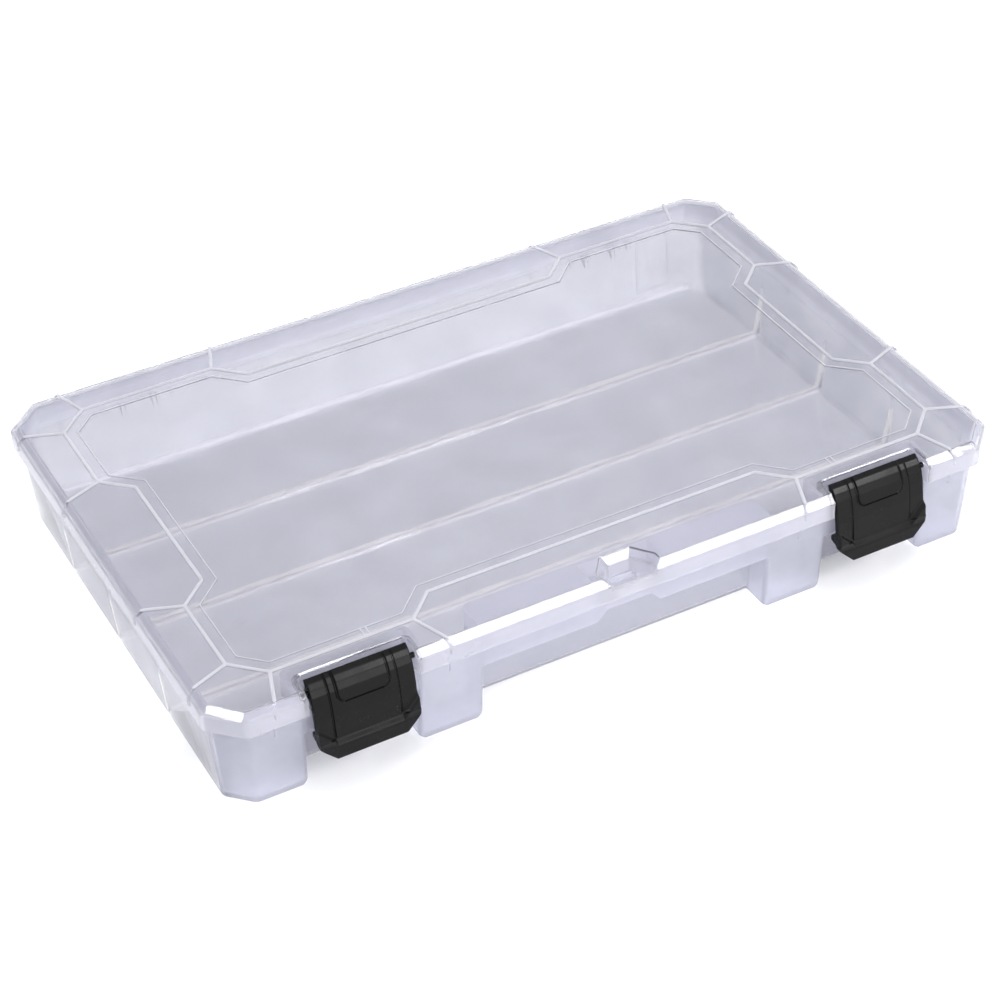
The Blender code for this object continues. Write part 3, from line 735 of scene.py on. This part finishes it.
def build_tray():
    tray = tray_loft("tray_moulding", eased([
        (3.0, 0.0), (0.0, 0.0), (0.0, RIM_SHOULDER), (TRAY_TOP - RIM_SHOULDER, TRAY_TOP),
        (WALL + 0.6, TRAY_TOP),
    ], TRAY_EDGE))
    cut(tray, tray_hollow())
    cut_front(tray)
    cut_lock_zone(tray)
    add_ribs_and_grooves(tray)
    add_gate_marks(tray)
    add_ticks(tray)
    add_rear_frame(tray)
    add_tray_hinges(tray)
    smooth(tray)
    return tray


# ---------------------------------------------------------------- lid

def lid_shell():
    profile = eased([
        (1.2, SKIRT_BOTTOM), (0.0, SKIRT_BOTTOM), (0.0, LID_TOP - BEVEL),
        (BEVEL, LID_TOP), (BEVEL + 3.0, LID_TOP),
    ], LID_EDGE)
    return loft_solid("lid_moulding", [level(lid_outline(i), z) for i, z in profile])


def notch_plan(side, grow, bevel):
    """Outline of a latch notch, larger by grow and with its back moved by bevel."""
    half = NOTCH_HALF + grow
    back = NOTCH_BACK + grow + bevel
    centre = side * LATCH_X
    corners = [
        (centre - half, -FAR), (centre + half, -FAR),
        (centre + half, back - NOTCH_CORNER), (centre + half - NOTCH_CORNER, back),
        (centre - half + NOTCH_CORNER, back), (centre - half, back - NOTCH_CORNER),
    ]
    return rounded(corners, 1.6, 3)


def notch_solid(side, grow):
    """Space of a latch notch, or with grow the wall that stands round it."""
    if grow:
        plan = notch_plan(side, grow, 0.0)
        return loft_solid("notch_wall", [level(plan, z) for z in (20.0, ABOVE)])
    profile = eased([
        (0.0, 20.0), (0.0, LID_TOP - NOTCH_BEVEL), (NOTCH_BEVEL, LID_TOP),
        (NOTCH_BEVEL + 0.6, LID_TOP + 0.6),
    ], 0.3, 3)
    return loft_solid("notch", [level(notch_plan(side, 0.0, b), z) for b, z in profile])


def pocket_plan(grow, bevel):
    """Outline of the padlock pocket, which narrows towards its back."""
    narrow = POCKET_HALF_X[0] + grow * 0.6 + bevel * 0.6
    wide = POCKET_HALF_X[1] + grow + bevel * 1.05
    back = POCKET_Y[0] + grow + bevel
    front = POCKET_Y[1] + grow * 0.5 + bevel * 0.5
    right = [(wide, -FAR), (wide, front), (narrow, back)]
    left = [(-x, y) for x, y in reversed(right)]
    return left[2:] + right + left[:2]


def pocket_wall():
    rings = [
        level(pocket_plan(WALL, 0.0), POCKET_FLOOR - WALL),
        level(pocket_plan(WALL, 0.0), LID_TOP - 3.8),
        level(pocket_plan(WALL, BEVEL), LID_TOP - 0.6),
    ]
    return loft_solid("pocket_wall", rings)


def lid_hollow():
    lean = WALL * (sqrt(2) - 1)
    profile = eased([
        (WALL, SKIRT_BOTTOM - 3.0), (WALL, LID_TOP - BEVEL - lean),
        (BEVEL + lean, LID_TOP - WALL), (BEVEL + lean + 2.0, LID_TOP - WALL),
    ], LID_INNER_EDGE)
    hollow = loft_solid("lid_hollow", [level(lid_outline(i), z) for i, z in profile])
    for side in (-1, 1):
        cut(hollow, notch_solid(side, WALL))
    cut(hollow, pocket_wall())
    return hollow


def cut_lock_pocket(lid):
    """Bevelled pocket down to its bar, sunk further inside the skirt, with a slot."""
    plan, top = pocket_plan(0.0, 0.0), pocket_plan(0.0, BEVEL)
    rings = [
        level(plan, POCKET_BAR), level(plan, LID_TOP - BEVEL),
        level(top, LID_TOP), level(top, ABOVE),
    ]
    cut(lid, loft_solid("pocket", rings))
    plan = rounded([(x, max(y, -LID_HALF_Y + WALL)) for x, y in plan], 0.8, 3)
    cut(lid, loft_solid("pocket_sunk", [level(plan, POCKET_FLOOR), level(plan, POCKET_BAR + 1.0)]))
    low, high = POCKET_HOLE_Y
    cut(lid, box_solid("pocket_slot", (-POCKET_HOLE_X, low, 36.0), (POCKET_HOLE_X, high, 44.0)))


def bump_section(scale=1.0, depth=0.7):
    """Round-topped section of a bead: (across, height) pairs, closed below."""
    turns = [pi * k / 12 for k in range(13)]
    arc = [(-BEAD_HALF_WIDTH * scale * cos(a), BEAD_HEIGHT * scale * sin(a)) for a in turns]
    return arc + [(arc[-1][0], -depth), (arc[0][0], -depth)]


def ring_bead(name, outline, scale, z, depth=0.7):
    """Bead that follows a closed flat outline."""
    bm = bmesh.new()
    loops = []
    for across, height in bump_section(scale, depth):
        loops.append([bm.verts.new((x, y, z + height)) for x, y in offset_outline(outline, across)])
    count = len(outline)
    for low, high in zip(loops, loops[1:] + loops[:1]):
        for i in range(count):
            j = (i + 1) % count
            bm.faces.new((low[i], low[j], high[j], high[i]))
    return object_from(bm, name)


def rib_solid(start, end, normal):
    """Bead from the ring over the bevel, ending in a round nose on the skirt."""
    start, end, normal = Vector(start), Vector(end), Vector(normal)
    along = (end - start).normalized()
    slope = 1 / along.dot(normal)
    reach = (end - start).length
    path = eased([
        (-0.3, LID_TOP), (reach - BEVEL * slope, LID_TOP),
        (reach, LID_TOP - BEVEL), (reach, LID_TOP - BEVEL - RIB_DOWN),
    ], 1.6, 4)
    for k in range(NOSE_ROWS):
        path.append((reach, LID_TOP - BEVEL - RIB_DOWN - NOSE_STEP * (k + 1)))
    across = Vector((-along.y, along.x))
    rings = []
    for i, (s, z) in enumerate(path):
        before, after = path[max(i - 1, 0)], path[min(i + 1, len(path) - 1)]
        step = Vector((after[0] - before[0], after[1] - before[1])).normalized()
        out_s, out_z = -step.y, step.x
        left = len(path) - 1 - i
        shrink = sqrt(1 - (1 - left / NOSE_ROWS) ** 2) if left < NOSE_ROWS else 1.0
        ring = []
        for t, h in bump_section():
            h = h * max(shrink, 0.05) if h > 0 else h
            x, y = start + along * (s + h * out_s) + across * t * (0.4 + 0.6 * shrink)
            ring.append((x, y, z + h * out_z))
        rings.append(ring)
    return loft_solid("rib", rings)


def add_ribs(lid):
    """Sixteen ribs, from corners of the bead to the edge of the lid."""
    for sx in (-1, 1):
        for sy in (-1, 1):
            for x_in, x_out in ((STEP_X[1], RIB_END_X[0]), (CORNER_X, RIB_END_X[1])):
                start, end = (sx * x_in, sy * BEAD_Y), (sx * x_out, sy * LID_HALF_Y)
                join(lid, rib_solid(start, end, (0, sy)))
            for y_in, y_out in ((STEP_Y[1], RIB_END_Y[0]), (CORNER_Y, RIB_END_Y[1])):
                start, end = (sx * BEAD_X, sy * y_in), (sx * LID_HALF_X, sy * y_out)
                join(lid, rib_solid(start, end, (sx, 0)))


def sink_panel(lid):
    """Panel inside the bead, a little lower, with a hairline round it."""
    panel = rounded(offset_outline(bead_outline(), -PANEL_INSET), 1.2, 3)
    rings = [
        level(panel, LID_TOP - PANEL_DEPTH), level(offset_outline(panel, 0.25), LID_TOP - 0.1),
        level(offset_outline(panel, 0.35), LID_TOP + 0.2),
    ]
    cut(lid, loft_solid("panel", rings))
    line = offset_outline(panel, 0.45)
    join(lid, ring_bead("panel_line", line, HAIRLINE_SCALE, LID_TOP, 0.4))


def add_small_marks(lid):
    """Pairs of low ribs behind each latch, and the round marks of the ejector pins."""
    for x in LADDER_X:
        for middle in (x - LADDER_SPREAD, x + LADDER_SPREAD):
            low = (middle - LADDER_HALF, LADDER_Y[0], LID_TOP - 0.3)
            high = (middle + LADDER_HALF, LADDER_Y[1], LID_TOP + LADDER_HEIGHT)
            join(lid, box_solid("ladder", low, high))
    face = LID_TOP - PANEL_DEPTH
    core, rim = MARK_RADII
    for centre in EJECTOR_MARKS:
        cut(lid, disc_solid("mark", centre, rim, face - MARK_DEPTH, face + 0.5))
        join(lid, disc_solid("mark_core", centre, core, face - 0.4, face))


def add_knuckles(lid):
    """C-shaped hinge knuckles, bored for the pins and open below."""
    root, top = KNUCKLE_ROOT_Y, KNUCKLE_SHOULDER[1]
    profile = [(root, SKIRT_BOTTOM + 0.6), (root, top), KNUCKLE_SHOULDER]
    for step in range(17):
        angle = pi * (0.32 - 1.2 * step / 16)
        profile.append((HINGE_Y + KNUCKLE_RADIUS * cos(angle), HINGE_Z + KNUCKLE_RADIUS * sin(angle)))
    for side in (-1, 1):
        middle = side * HINGE_X
        bm = bmesh.new()
        add_bar(bm, profile, middle - KNUCKLE_HALF, middle + KNUCKLE_HALF)
        join(lid, object_from(bm, "knuckle"))
        bm = bmesh.new()
        bore = circle((HINGE_Y, HINGE_Z), HINGE_BORE_RADIUS, 32)
        add_bar(bm, bore, middle - KNUCKLE_HALF - 1, middle + KNUCKLE_HALF + 1)
        cut(lid, object_from(bm, "bore"))
        half_x, half_y = MOUTH_HALF
        low = (middle - half_x, HINGE_Y - half_y, 30.0)
        cut(lid, box_solid("mouth", low, (middle + half_x, HINGE_Y + half_y, HINGE_Z)))


def cut_latch_sockets(lid):
    """Round holes in the notches' side walls for the latches' pins."""
    hole = circle((PIVOT_Y, PIVOT_Z), SOCKET_RADIUS, 32)
    for side in (-1, 1):
        for flip in (-1, 1):
            ends = (NOTCH_HALF - 0.5, NOTCH_HALF + WALL + 0.5)
            low, high = sorted(side * LATCH_X + flip * e for e in ends)
            bm = bmesh.new()
            add_bar(bm, hole, low, high)
            cut(lid, object_from(bm, "socket"))


def smooth(obj, angle=24):
    """Shades the surface smooth where it bends by less than angle degrees."""
    obj.data.shade_smooth()
    obj.data.set_sharp_from_angle(angle=radians(angle))


def build_lid():
    lid = lid_shell()
    cut(lid, lid_hollow())
    for side in (-1, 1):
        cut(lid, notch_solid(side, 0.0))
    cut_lock_pocket(lid)
    sink_panel(lid)
    join(lid, ring_bead("bead", rounded(bead_outline(), BEAD_ARC, 4), 1.0, LID_TOP))
    add_ribs(lid)
    add_small_marks(lid)
    add_knuckles(lid)
    cut_latch_sockets(lid)
    smooth(lid)
    return lid


# ---------------------------------------------------------------- latches

def resampled(points, step):
    """Evenly spaced points and outward normals along an open line."""
    points = [Vector(p) for p in eased(points, 3.0, 6)]
    total = sum((b - a).length for a, b in zip(points, points[1:]))
    count = round(total / step)
    out = []
    done, i = 0.0, 0
    for k in range(count + 1):
        want = total * k / count
        while i < len(points) - 2 and done + (points[i + 1] - points[i]).length < want:
            done += (points[i + 1] - points[i]).length
            i += 1
        run = points[i + 1] - points[i]
        out.append(points[i] + run * ((want - done) / run.length))
    rows = []
    for k, p in enumerate(out):
        run = (out[min(k + 1, count)] - out[max(k - 1, 0)]).normalized()
        rows.append((p, Vector((run.y, -run.x))))
    return rows


def ramp(value, low, high):
    """Smooth step from 0 at low to 1 at high."""
    t = min(max((value - low) / (high - low), 0.0), 1.0)
    return t * t * (3 - 2 * t)


def fall(distance, radius):
    """How far a rounded edge lies below the face at a distance from the edge."""
    if distance >= radius:
        return 0.0
    return radius - sqrt(max(radius ** 2 - (radius - distance) ** 2, 0.0))


def latch_relief(x, z):
    """Height of the latch's face over its plain curved shell."""
    across = abs(x)
    height = 0.0
    if z > LIP_TOP - 0.3:
        beside = abs(across - GROOVE_X)
        fade = ramp(z, LIP_TOP - 0.3, LIP_TOP + 0.6)
        height -= GROOVE_DEPTH * fade * (1 - ramp(beside, 0.1, 0.55))
        height -= BORDER_DEPTH * fade * ramp(across, GROOVE_X, GROOVE_X + 0.6)
    aside = max(across - (PAD_HALF - PAD_CORNER), 0.0)
    below = max(PAD_BOTTOM + PAD_CORNER - z, 0.0)
    from_pad = Vector((aside, below)).length
    height += PAD_HEIGHT * (1 - ramp(from_pad, PAD_CORNER - 0.35, PAD_CORNER + 0.05))
    height -= MOAT_DEPTH * (1 - ramp(abs(from_pad - MOAT_AT), 0.15, 0.5))
    diagonal = (LATCH_HALF - across + z - LATCH_BOTTOM - LIP_CORNER) / sqrt(2)
    already = LIP_FLARE * (1 - ramp(z, LIP_BEND, LIP_TOP))
    height += max(LIP_FLARE * (1 - ramp(diagonal, 4.6, 6.4)) - already, 0.0)
    height -= fall(LATCH_HALF - across, SIDE_ROUND)
    height -= fall(z - LATCH_BOTTOM, FOOT_ROUND)
    return height


def latch_columns():
    """Places of the columns across the whole latch."""
    half = [first + step * k for first, step, count in LATCH_COLUMNS for k in range(count)]
    return [-x for x in reversed(half[1:])] + half


def latch_back():
    """Inner side of a latch in side view, up round the barrel to the top."""
    barrel = []
    for step in range(17):
        angle = pi * (-0.62 + 0.86 * step / 16)
        barrel.append((PIVOT_Y + BARREL_RADIUS * cos(angle), PIVOT_Z + BARREL_RADIUS * sin(angle)))
    return eased(LATCH_INNER, 0.4, 2) + barrel + [LATCH_BACK_TOP]


def cut_lip_corners(latch):
    """Cuts the two lower corners of a latch at 45 degrees."""
    past = 2.0
    inner = LATCH_HALF - LIP_CORNER - past
    outer = LATCH_HALF + past
    low = LATCH_BOTTOM - past
    high = LATCH_BOTTOM + LIP_CORNER + past
    for flip in (-1, 1):
        rings = []
        for y in (-124.0, -108.0):
            rings.append([(flip * inner, y, low), (flip * outer, y, low), (flip * outer, y, high)])
        cut(latch, loft_solid("corner", rings))


def build_latch(name, side):
    rows = resampled(LATCH_OUTER, 0.3)
    back = latch_back()
    rings = []
    for x in latch_columns():
        face = [p + n * latch_relief(x, p.y) for p, n in rows]
        rings.append([(x, q.x, q.y) for q in face] + [(x, y, z) for y, z in back])
    latch = loft_solid(name + "_moulding", rings)
    cut_lip_corners(latch)
    bm = bmesh.new()
    add_bar(bm, circle((PIVOT_Y, PIVOT_Z), PIN_RADIUS, 24), -PIN_REACH, PIN_REACH)
    join(latch, object_from(bm, "pin"))
    latch.data.transform(Matrix.Translation((side * LATCH_X * MM, 0, 0)))
    smooth(latch, 32)
    return latch


# ---------------------------------------------------------------- materials

def node(tree, kind, **settings):
    """New shader node; each setting is an attribute or an input of it."""
    made = tree.nodes.new(kind)
    for key, value in settings.items():
        if hasattr(made, key):
            setattr(made, key, value)
        else:
            made.inputs[key.replace("_", " ")].default_value = value
    return made


def mapped(tree, socket, span, target):
    """Straight-line change of one value into another, held at both ends."""
    made = node(tree, "ShaderNodeMapRange")
    for name, value in zip(("From Min", "From Max", "To Min", "To Max"), span + target):
        made.inputs[name].default_value = value
    tree.links.new(socket, made.inputs["Value"])
    return made.outputs[0]


def calculated(tree, operation, first, second):
    """Sum, product or the like of two values; a sum stays between 0 and 1."""
    made = node(tree, "ShaderNodeMath", operation=operation)
    made.use_clamp = operation == "ADD"
    for socket, value in zip(made.inputs, (first, second)):
        if isinstance(value, float):
            socket.default_value = value
        else:
            tree.links.new(value, socket)
    return made.outputs[0]


def noise(tree, scale, detail, stretch=None):
    """Noise fixed to the moulding; its scale counts in cells per metre."""
    place = node(tree, "ShaderNodeTexCoord")
    made = node(tree, "ShaderNodeTexNoise", Scale=scale, Detail=detail)
    if stretch:
        squash = node(tree, "ShaderNodeMapping")
        squash.inputs["Scale"].default_value = stretch
        tree.links.new(place.outputs["Object"], squash.inputs["Vector"])
        tree.links.new(squash.outputs[0], made.inputs["Vector"])
    else:
        tree.links.new(place.outputs["Object"], made.inputs["Vector"])
    return made.outputs["Fac"]


def ramp_colour(tree, socket, stops):
    """Colour for a value, blended between (place, colour) stops."""
    made = node(tree, "ShaderNodeValToRGB")
    steps = made.color_ramp.elements
    while len(steps) < len(stops):
        steps.new(0.5)
    for step, (place, colour) in zip(steps, stops):
        step.position = place
        step.color = (*colour, 1)
    tree.links.new(socket, made.inputs[0])
    return made.outputs[0]


def place_axes(tree):
    place = node(tree, "ShaderNodeTexCoord")
    split = node(tree, "ShaderNodeSeparateXYZ")
    tree.links.new(place.outputs["Object"], split.inputs[0])
    return split.outputs


def clear_plastic(name, tint, milk_and_highlight, haze_of, shine):
    """Milky clear plastic: bends light, scatters some of it, and lets lamps through.

    haze_of(tree) gives three sockets: the share of light that is scattered, how
    white that share is, from 0 for the thin panels to 1 for the ribs and edges,
    where the whitest share is partly a painted highlight, and how far the tint falls
    back to its first, darkest stop, which on the tray's end walls is a painted shade.
    """
    mat = bpy.data.materials.new(name)
    mat.use_nodes = True
    tree = mat.node_tree
    link_up = tree.links.new
    body = tree.nodes["Principled BSDF"]
    body.inputs["IOR"].default_value = PLASTIC_IOR
    body.inputs["Transmission Weight"].default_value = 1.0
    body.inputs["Specular IOR Level"].default_value = shine
    haze, whiteness, dim = haze_of(tree)
    shade = calculated(tree, "SUBTRACT", noise(tree, 26.0, 3.0), dim)
    link_up(ramp_colour(tree, shade, tint), body.inputs["Base Color"])
    rough = mapped(tree, noise(tree, 140.0, 5.0), NOISE_SPAN, ROUGH_RANGE)
    link_up(rough, body.inputs["Roughness"])
    wave = node(tree, "ShaderNodeBump", Strength=0.22, Distance=0.0004)
    link_up(noise(tree, 55.0, 1.0, (1.0, 2.2, 1.0)), wave.inputs["Height"])
    fine = node(tree, "ShaderNodeBump", Strength=0.10, Distance=0.00003)
    link_up(noise(tree, 1400.0, 2.0), fine.inputs["Height"])
    link_up(wave.outputs[0], fine.inputs["Normal"])
    link_up(fine.outputs[0], body.inputs["Normal"])
    # The whitest milk, on the beads and the tray's ribs, is a painted highlight
    colour = ramp_colour(tree, whiteness, milk_and_highlight)
    glow = node(tree, "ShaderNodeBsdfTranslucent")
    skin = node(tree, "ShaderNodeBsdfDiffuse")
    link_up(colour, glow.inputs["Color"])
    link_up(colour, skin.inputs["Color"])
    cloud = node(tree, "ShaderNodeMixShader")
    milky = node(tree, "ShaderNodeMixShader")
    both = node(tree, "ShaderNodeMixShader")
    lamp = node(tree, "ShaderNodeBsdfTransparent", Color=LAMP_TINT)
    ray = node(tree, "ShaderNodeLightPath")
    drift = mapped(tree, noise(tree, 38.0, 4.0), NOISE_SPAN, CLOUD_RANGE)
    cloudy = calculated(tree, "ADD", haze, drift)
    link_up(glow.outputs[0], cloud.inputs[1])
    link_up(skin.outputs[0], cloud.inputs[2])
    link_up(cloudy, milky.inputs[0])
    link_up(body.outputs[0], milky.inputs[1])
    link_up(cloud.outputs[0], milky.inputs[2])
    link_up(ray.outputs["Is Shadow Ray"], both.inputs[0])
    link_up(milky.outputs[0], both.inputs[1])
    link_up(lamp.outputs[0], both.inputs[2])
    link_up(both.outputs[0], tree.nodes["Material Output"].inputs["Surface"])
    return mat


def lid_haze(tree):
    """Clear panel and cloudier skirt; the beads standing over the panel are nearly white, partly real
    cloudiness and partly a painted highlight along them. The skirt's tint darkens a little towards
    its bottom.
    """
    z = place_axes(tree)["Z"]
    # Beads, ribs and small ribs raised over the panel: whiter and cloudier, a painted highlight
    bead = mapped(tree, z, ((LID_TOP + 0.03) * MM, (LID_TOP + 0.25) * MM), (0.0, 1.0))
    skirt = mapped(tree, z, (46.2 * MM, 49.8 * MM), (SKIRT_HAZE, 0.0))
    panel = mapped(tree, bead, (0.0, 1.0), (LID_HAZE, BEAD_HIGHLIGHT_HAZE))
    haze = calculated(tree, "MAXIMUM", skirt, panel)
    pale = mapped(tree, skirt, (0.0, SKIRT_HAZE), (0.0, SKIRT_WHITE))
    white = calculated(tree, "MAXIMUM", bead, pale)
    return haze, white, mapped(tree, z, (40.0 * MM, 47.0 * MM), (SKIRT_DIM, 0.0))


def tray_haze(tree):
    """Clear floor and walls; the ribs, the rear wall's foot, the rim and the front are whiter.

    The ribs' crests are whiter and cloudier, partly real cloudiness and partly a painted
    highlight, and the line at the rear wall's foot is whiter as a painted highlight; the
    whiter front is painted light from the lamps in front; the rim is whiter and cloudier
    towards the top, and the end walls' darker tint is painted shade. The ribs' mask
    repeats along y with their pitch, so it ends after the last rib and above the wall ribs.
    """
    axes = place_axes(tree)
    # Crests of the floor and wall ribs: whiter and cloudier, partly real cloudiness and partly a
    # painted highlight
    pitch = FLOOR_RIBS_Y[1] - FLOOR_RIBS_Y[0]
    shifted = calculated(tree, "SUBTRACT", axes["Y"], FLOOR_RIBS_Y[0] * MM)
    away = calculated(tree, "PINGPONG", shifted, pitch / 2 * MM)
    rib = mapped(tree, away, (0.9 * MM, 1.6 * MM), (1.0, 0.0))
    rim = mapped(tree, axes["Z"], (34.0 * MM, 41.0 * MM), (0.0, RIM_WHITE))
    past_first = mapped(tree, axes["Y"], (-80.0 * MM, -76.0 * MM), (0.0, 1.0))
    before_last = mapped(tree, axes["Y"], (76.0 * MM, 80.0 * MM), (1.0, 0.0))
    among = calculated(tree, "MULTIPLY", past_first, before_last)
    rib = calculated(tree, "MULTIPLY", rib, among)
    low = mapped(tree, axes["Z"], (0.7 * WALL_RIB_TOP * MM, WALL_RIB_TOP * MM), (1.0, 0.0))
    rib = calculated(tree, "MULTIPLY", rib, low)
    # Line at the foot of the rear wall: whiter, a painted highlight
    rear = mapped(tree, axes["Y"], (107.5 * MM, 109.0 * MM), (0.0, 1.0))
    foot = mapped(tree, axes["Z"], (2.0 * MM, 3.6 * MM), (REAR_FOOT_HIGHLIGHT, 0.0))
    rib = calculated(tree, "MAXIMUM", rib, calculated(tree, "MULTIPLY", rear, foot))
    # Whiter front of the tray: painted light from the lamps in front
    front = mapped(tree, axes["Y"], (-100.0 * MM, -94.0 * MM), (FRONT_PAINTED_LIGHT, 0.0))
    white = calculated(tree, "MAXIMUM", calculated(tree, "MAXIMUM", rib, rim), front)
    # Darker tint on the end walls: painted shade
    end = calculated(tree, "ABSOLUTE", axes["X"], 0.0)
    dim = mapped(tree, end, (166.0 * MM, 169.5 * MM), (0.0, END_PAINTED_SHADE))
    return mapped(tree, white, (0.0, 1.0), (TRAY_HAZE, RIB_HIGHLIGHT_HAZE)), white, dim


def black_plastic(name):
    """Satin black plastic with a fine grain and an uneven gloss."""
    mat = bpy.data.materials.new(name)
    mat.use_nodes = True
    tree = mat.node_tree
    body = tree.nodes["Principled BSDF"]
    body.inputs["Specular IOR Level"].default_value = BLACK_SHINE
    tone = ramp_colour(tree, noise(tree, 60.0, 4.0), BLACK_TONES)
    tree.links.new(tone, body.inputs["Base Color"])
    rough = mapped(tree, noise(tree, 90.0, 3.0), NOISE_SPAN, BLACK_ROUGH_RANGE)
    tree.links.new(rough, body.inputs["Roughness"])
    grain = node(tree, "ShaderNodeBump", Strength=0.12, Distance=0.0001)
    tree.links.new(noise(tree, 2600.0, 3.0), grain.inputs["Height"])
    tree.links.new(grain.outputs[0], body.inputs["Normal"])
    return mat


# ---------------------------------------------------------------- studio

def rotation(azimuth, elevation, roll):
    """Turn of a camera that looks at the case from this side and height, in degrees."""
    az, el, ro = radians(azimuth), radians(elevation), radians(roll)
    back = Vector((sin(az) * cos(el), -cos(az) * cos(el), sin(el)))
    right = (-back).cross(Vector((0, 0, 1))).normalized()
    up = right.cross(-back)
    r = right * cos(ro) + up * sin(ro)
    u = -right * sin(ro) + up * cos(ro)
    return Matrix((r, u, back)).transposed()


def add_camera():
    data = bpy.data.cameras.new("camera")
    data.lens = LENS
    data.sensor_width = SENSOR
    camera = link(bpy.data.objects.new("camera", data))
    turn = rotation(*CAMERA_ANGLES).to_4x4()
    camera.matrix_world = Matrix.Translation(CAMERA_PLACE) @ turn
    bpy.context.scene.camera = camera


def add_floor():
    mesh = bpy.data.meshes.new("floor")
    s = FLOOR_HALF
    mesh.from_pydata([(-s, -s, 0), (s, -s, 0), (s, s, 0), (-s, s, 0)], [], [(0, 1, 2, 3)])
    floor = link(bpy.data.objects.new("floor", mesh))
    floor.location.z = -FLOOR_GAP
    mat = bpy.data.materials.new("floor")
    mat.use_nodes = True
    body = mat.node_tree.nodes["Principled BSDF"]
    body.inputs["Base Color"].default_value = FLOOR_WHITE
    body.inputs["Roughness"].default_value = 0.9
    body.inputs["Specular IOR Level"].default_value = 0.0
    mesh.materials.append(mat)


def add_area(name, toward, distance, size, power):
    """Soft light that shines at the middle of the case from a direction."""
    data = bpy.data.lights.new(name, "AREA")
    data.shape = "RECTANGLE"
    data.size, data.size_y = size
    data.energy = power
    lamp = link(bpy.data.objects.new(name, data))
    away = Vector(toward).normalized()
    lamp.location = away * distance
    lamp.rotation_euler = away.to_track_quat("Z", "Y").to_euler()


def add_world():
    world = bpy.data.worlds.new("studio")
    world.use_nodes = True
    sky = world.node_tree.nodes["Background"]
    sky.inputs["Color"].default_value = SKY_COLOUR
    sky.inputs["Strength"].default_value = SKY_STRENGTH
    bpy.context.scene.world = world


def dress(piece, body, material):
    """Puts a finished piece in place of the CAD node named like its body."""
    piece.data.materials.clear()
    piece.data.materials.append(material)
    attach(piece, body)
    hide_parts(body)


def main():
    bpy.context.scene.view_settings.view_transform = "Standard"
    add_camera()
    add_floor()
    add_world()
    for light in LIGHTS:
        add_area(*light)
    lid_clear = clear_plastic("lid_clear", LID_TINT, LID_MILK_AND_HIGHLIGHT, lid_haze, LID_SHINE)
    tray_clear = clear_plastic("tray_clear", TRAY_TINT, TRAY_MILK_AND_HIGHLIGHT, tray_haze, TRAY_SHINE)
    black = black_plastic("latch_black")
    dress(build_lid(), "lid", lid_clear)
    for name, side in (("latch_left", -1), ("latch_right", 1)):
        dress(build_latch(name, side), name, black)
    dress(build_tray(), "tray", tray_clear)


main()
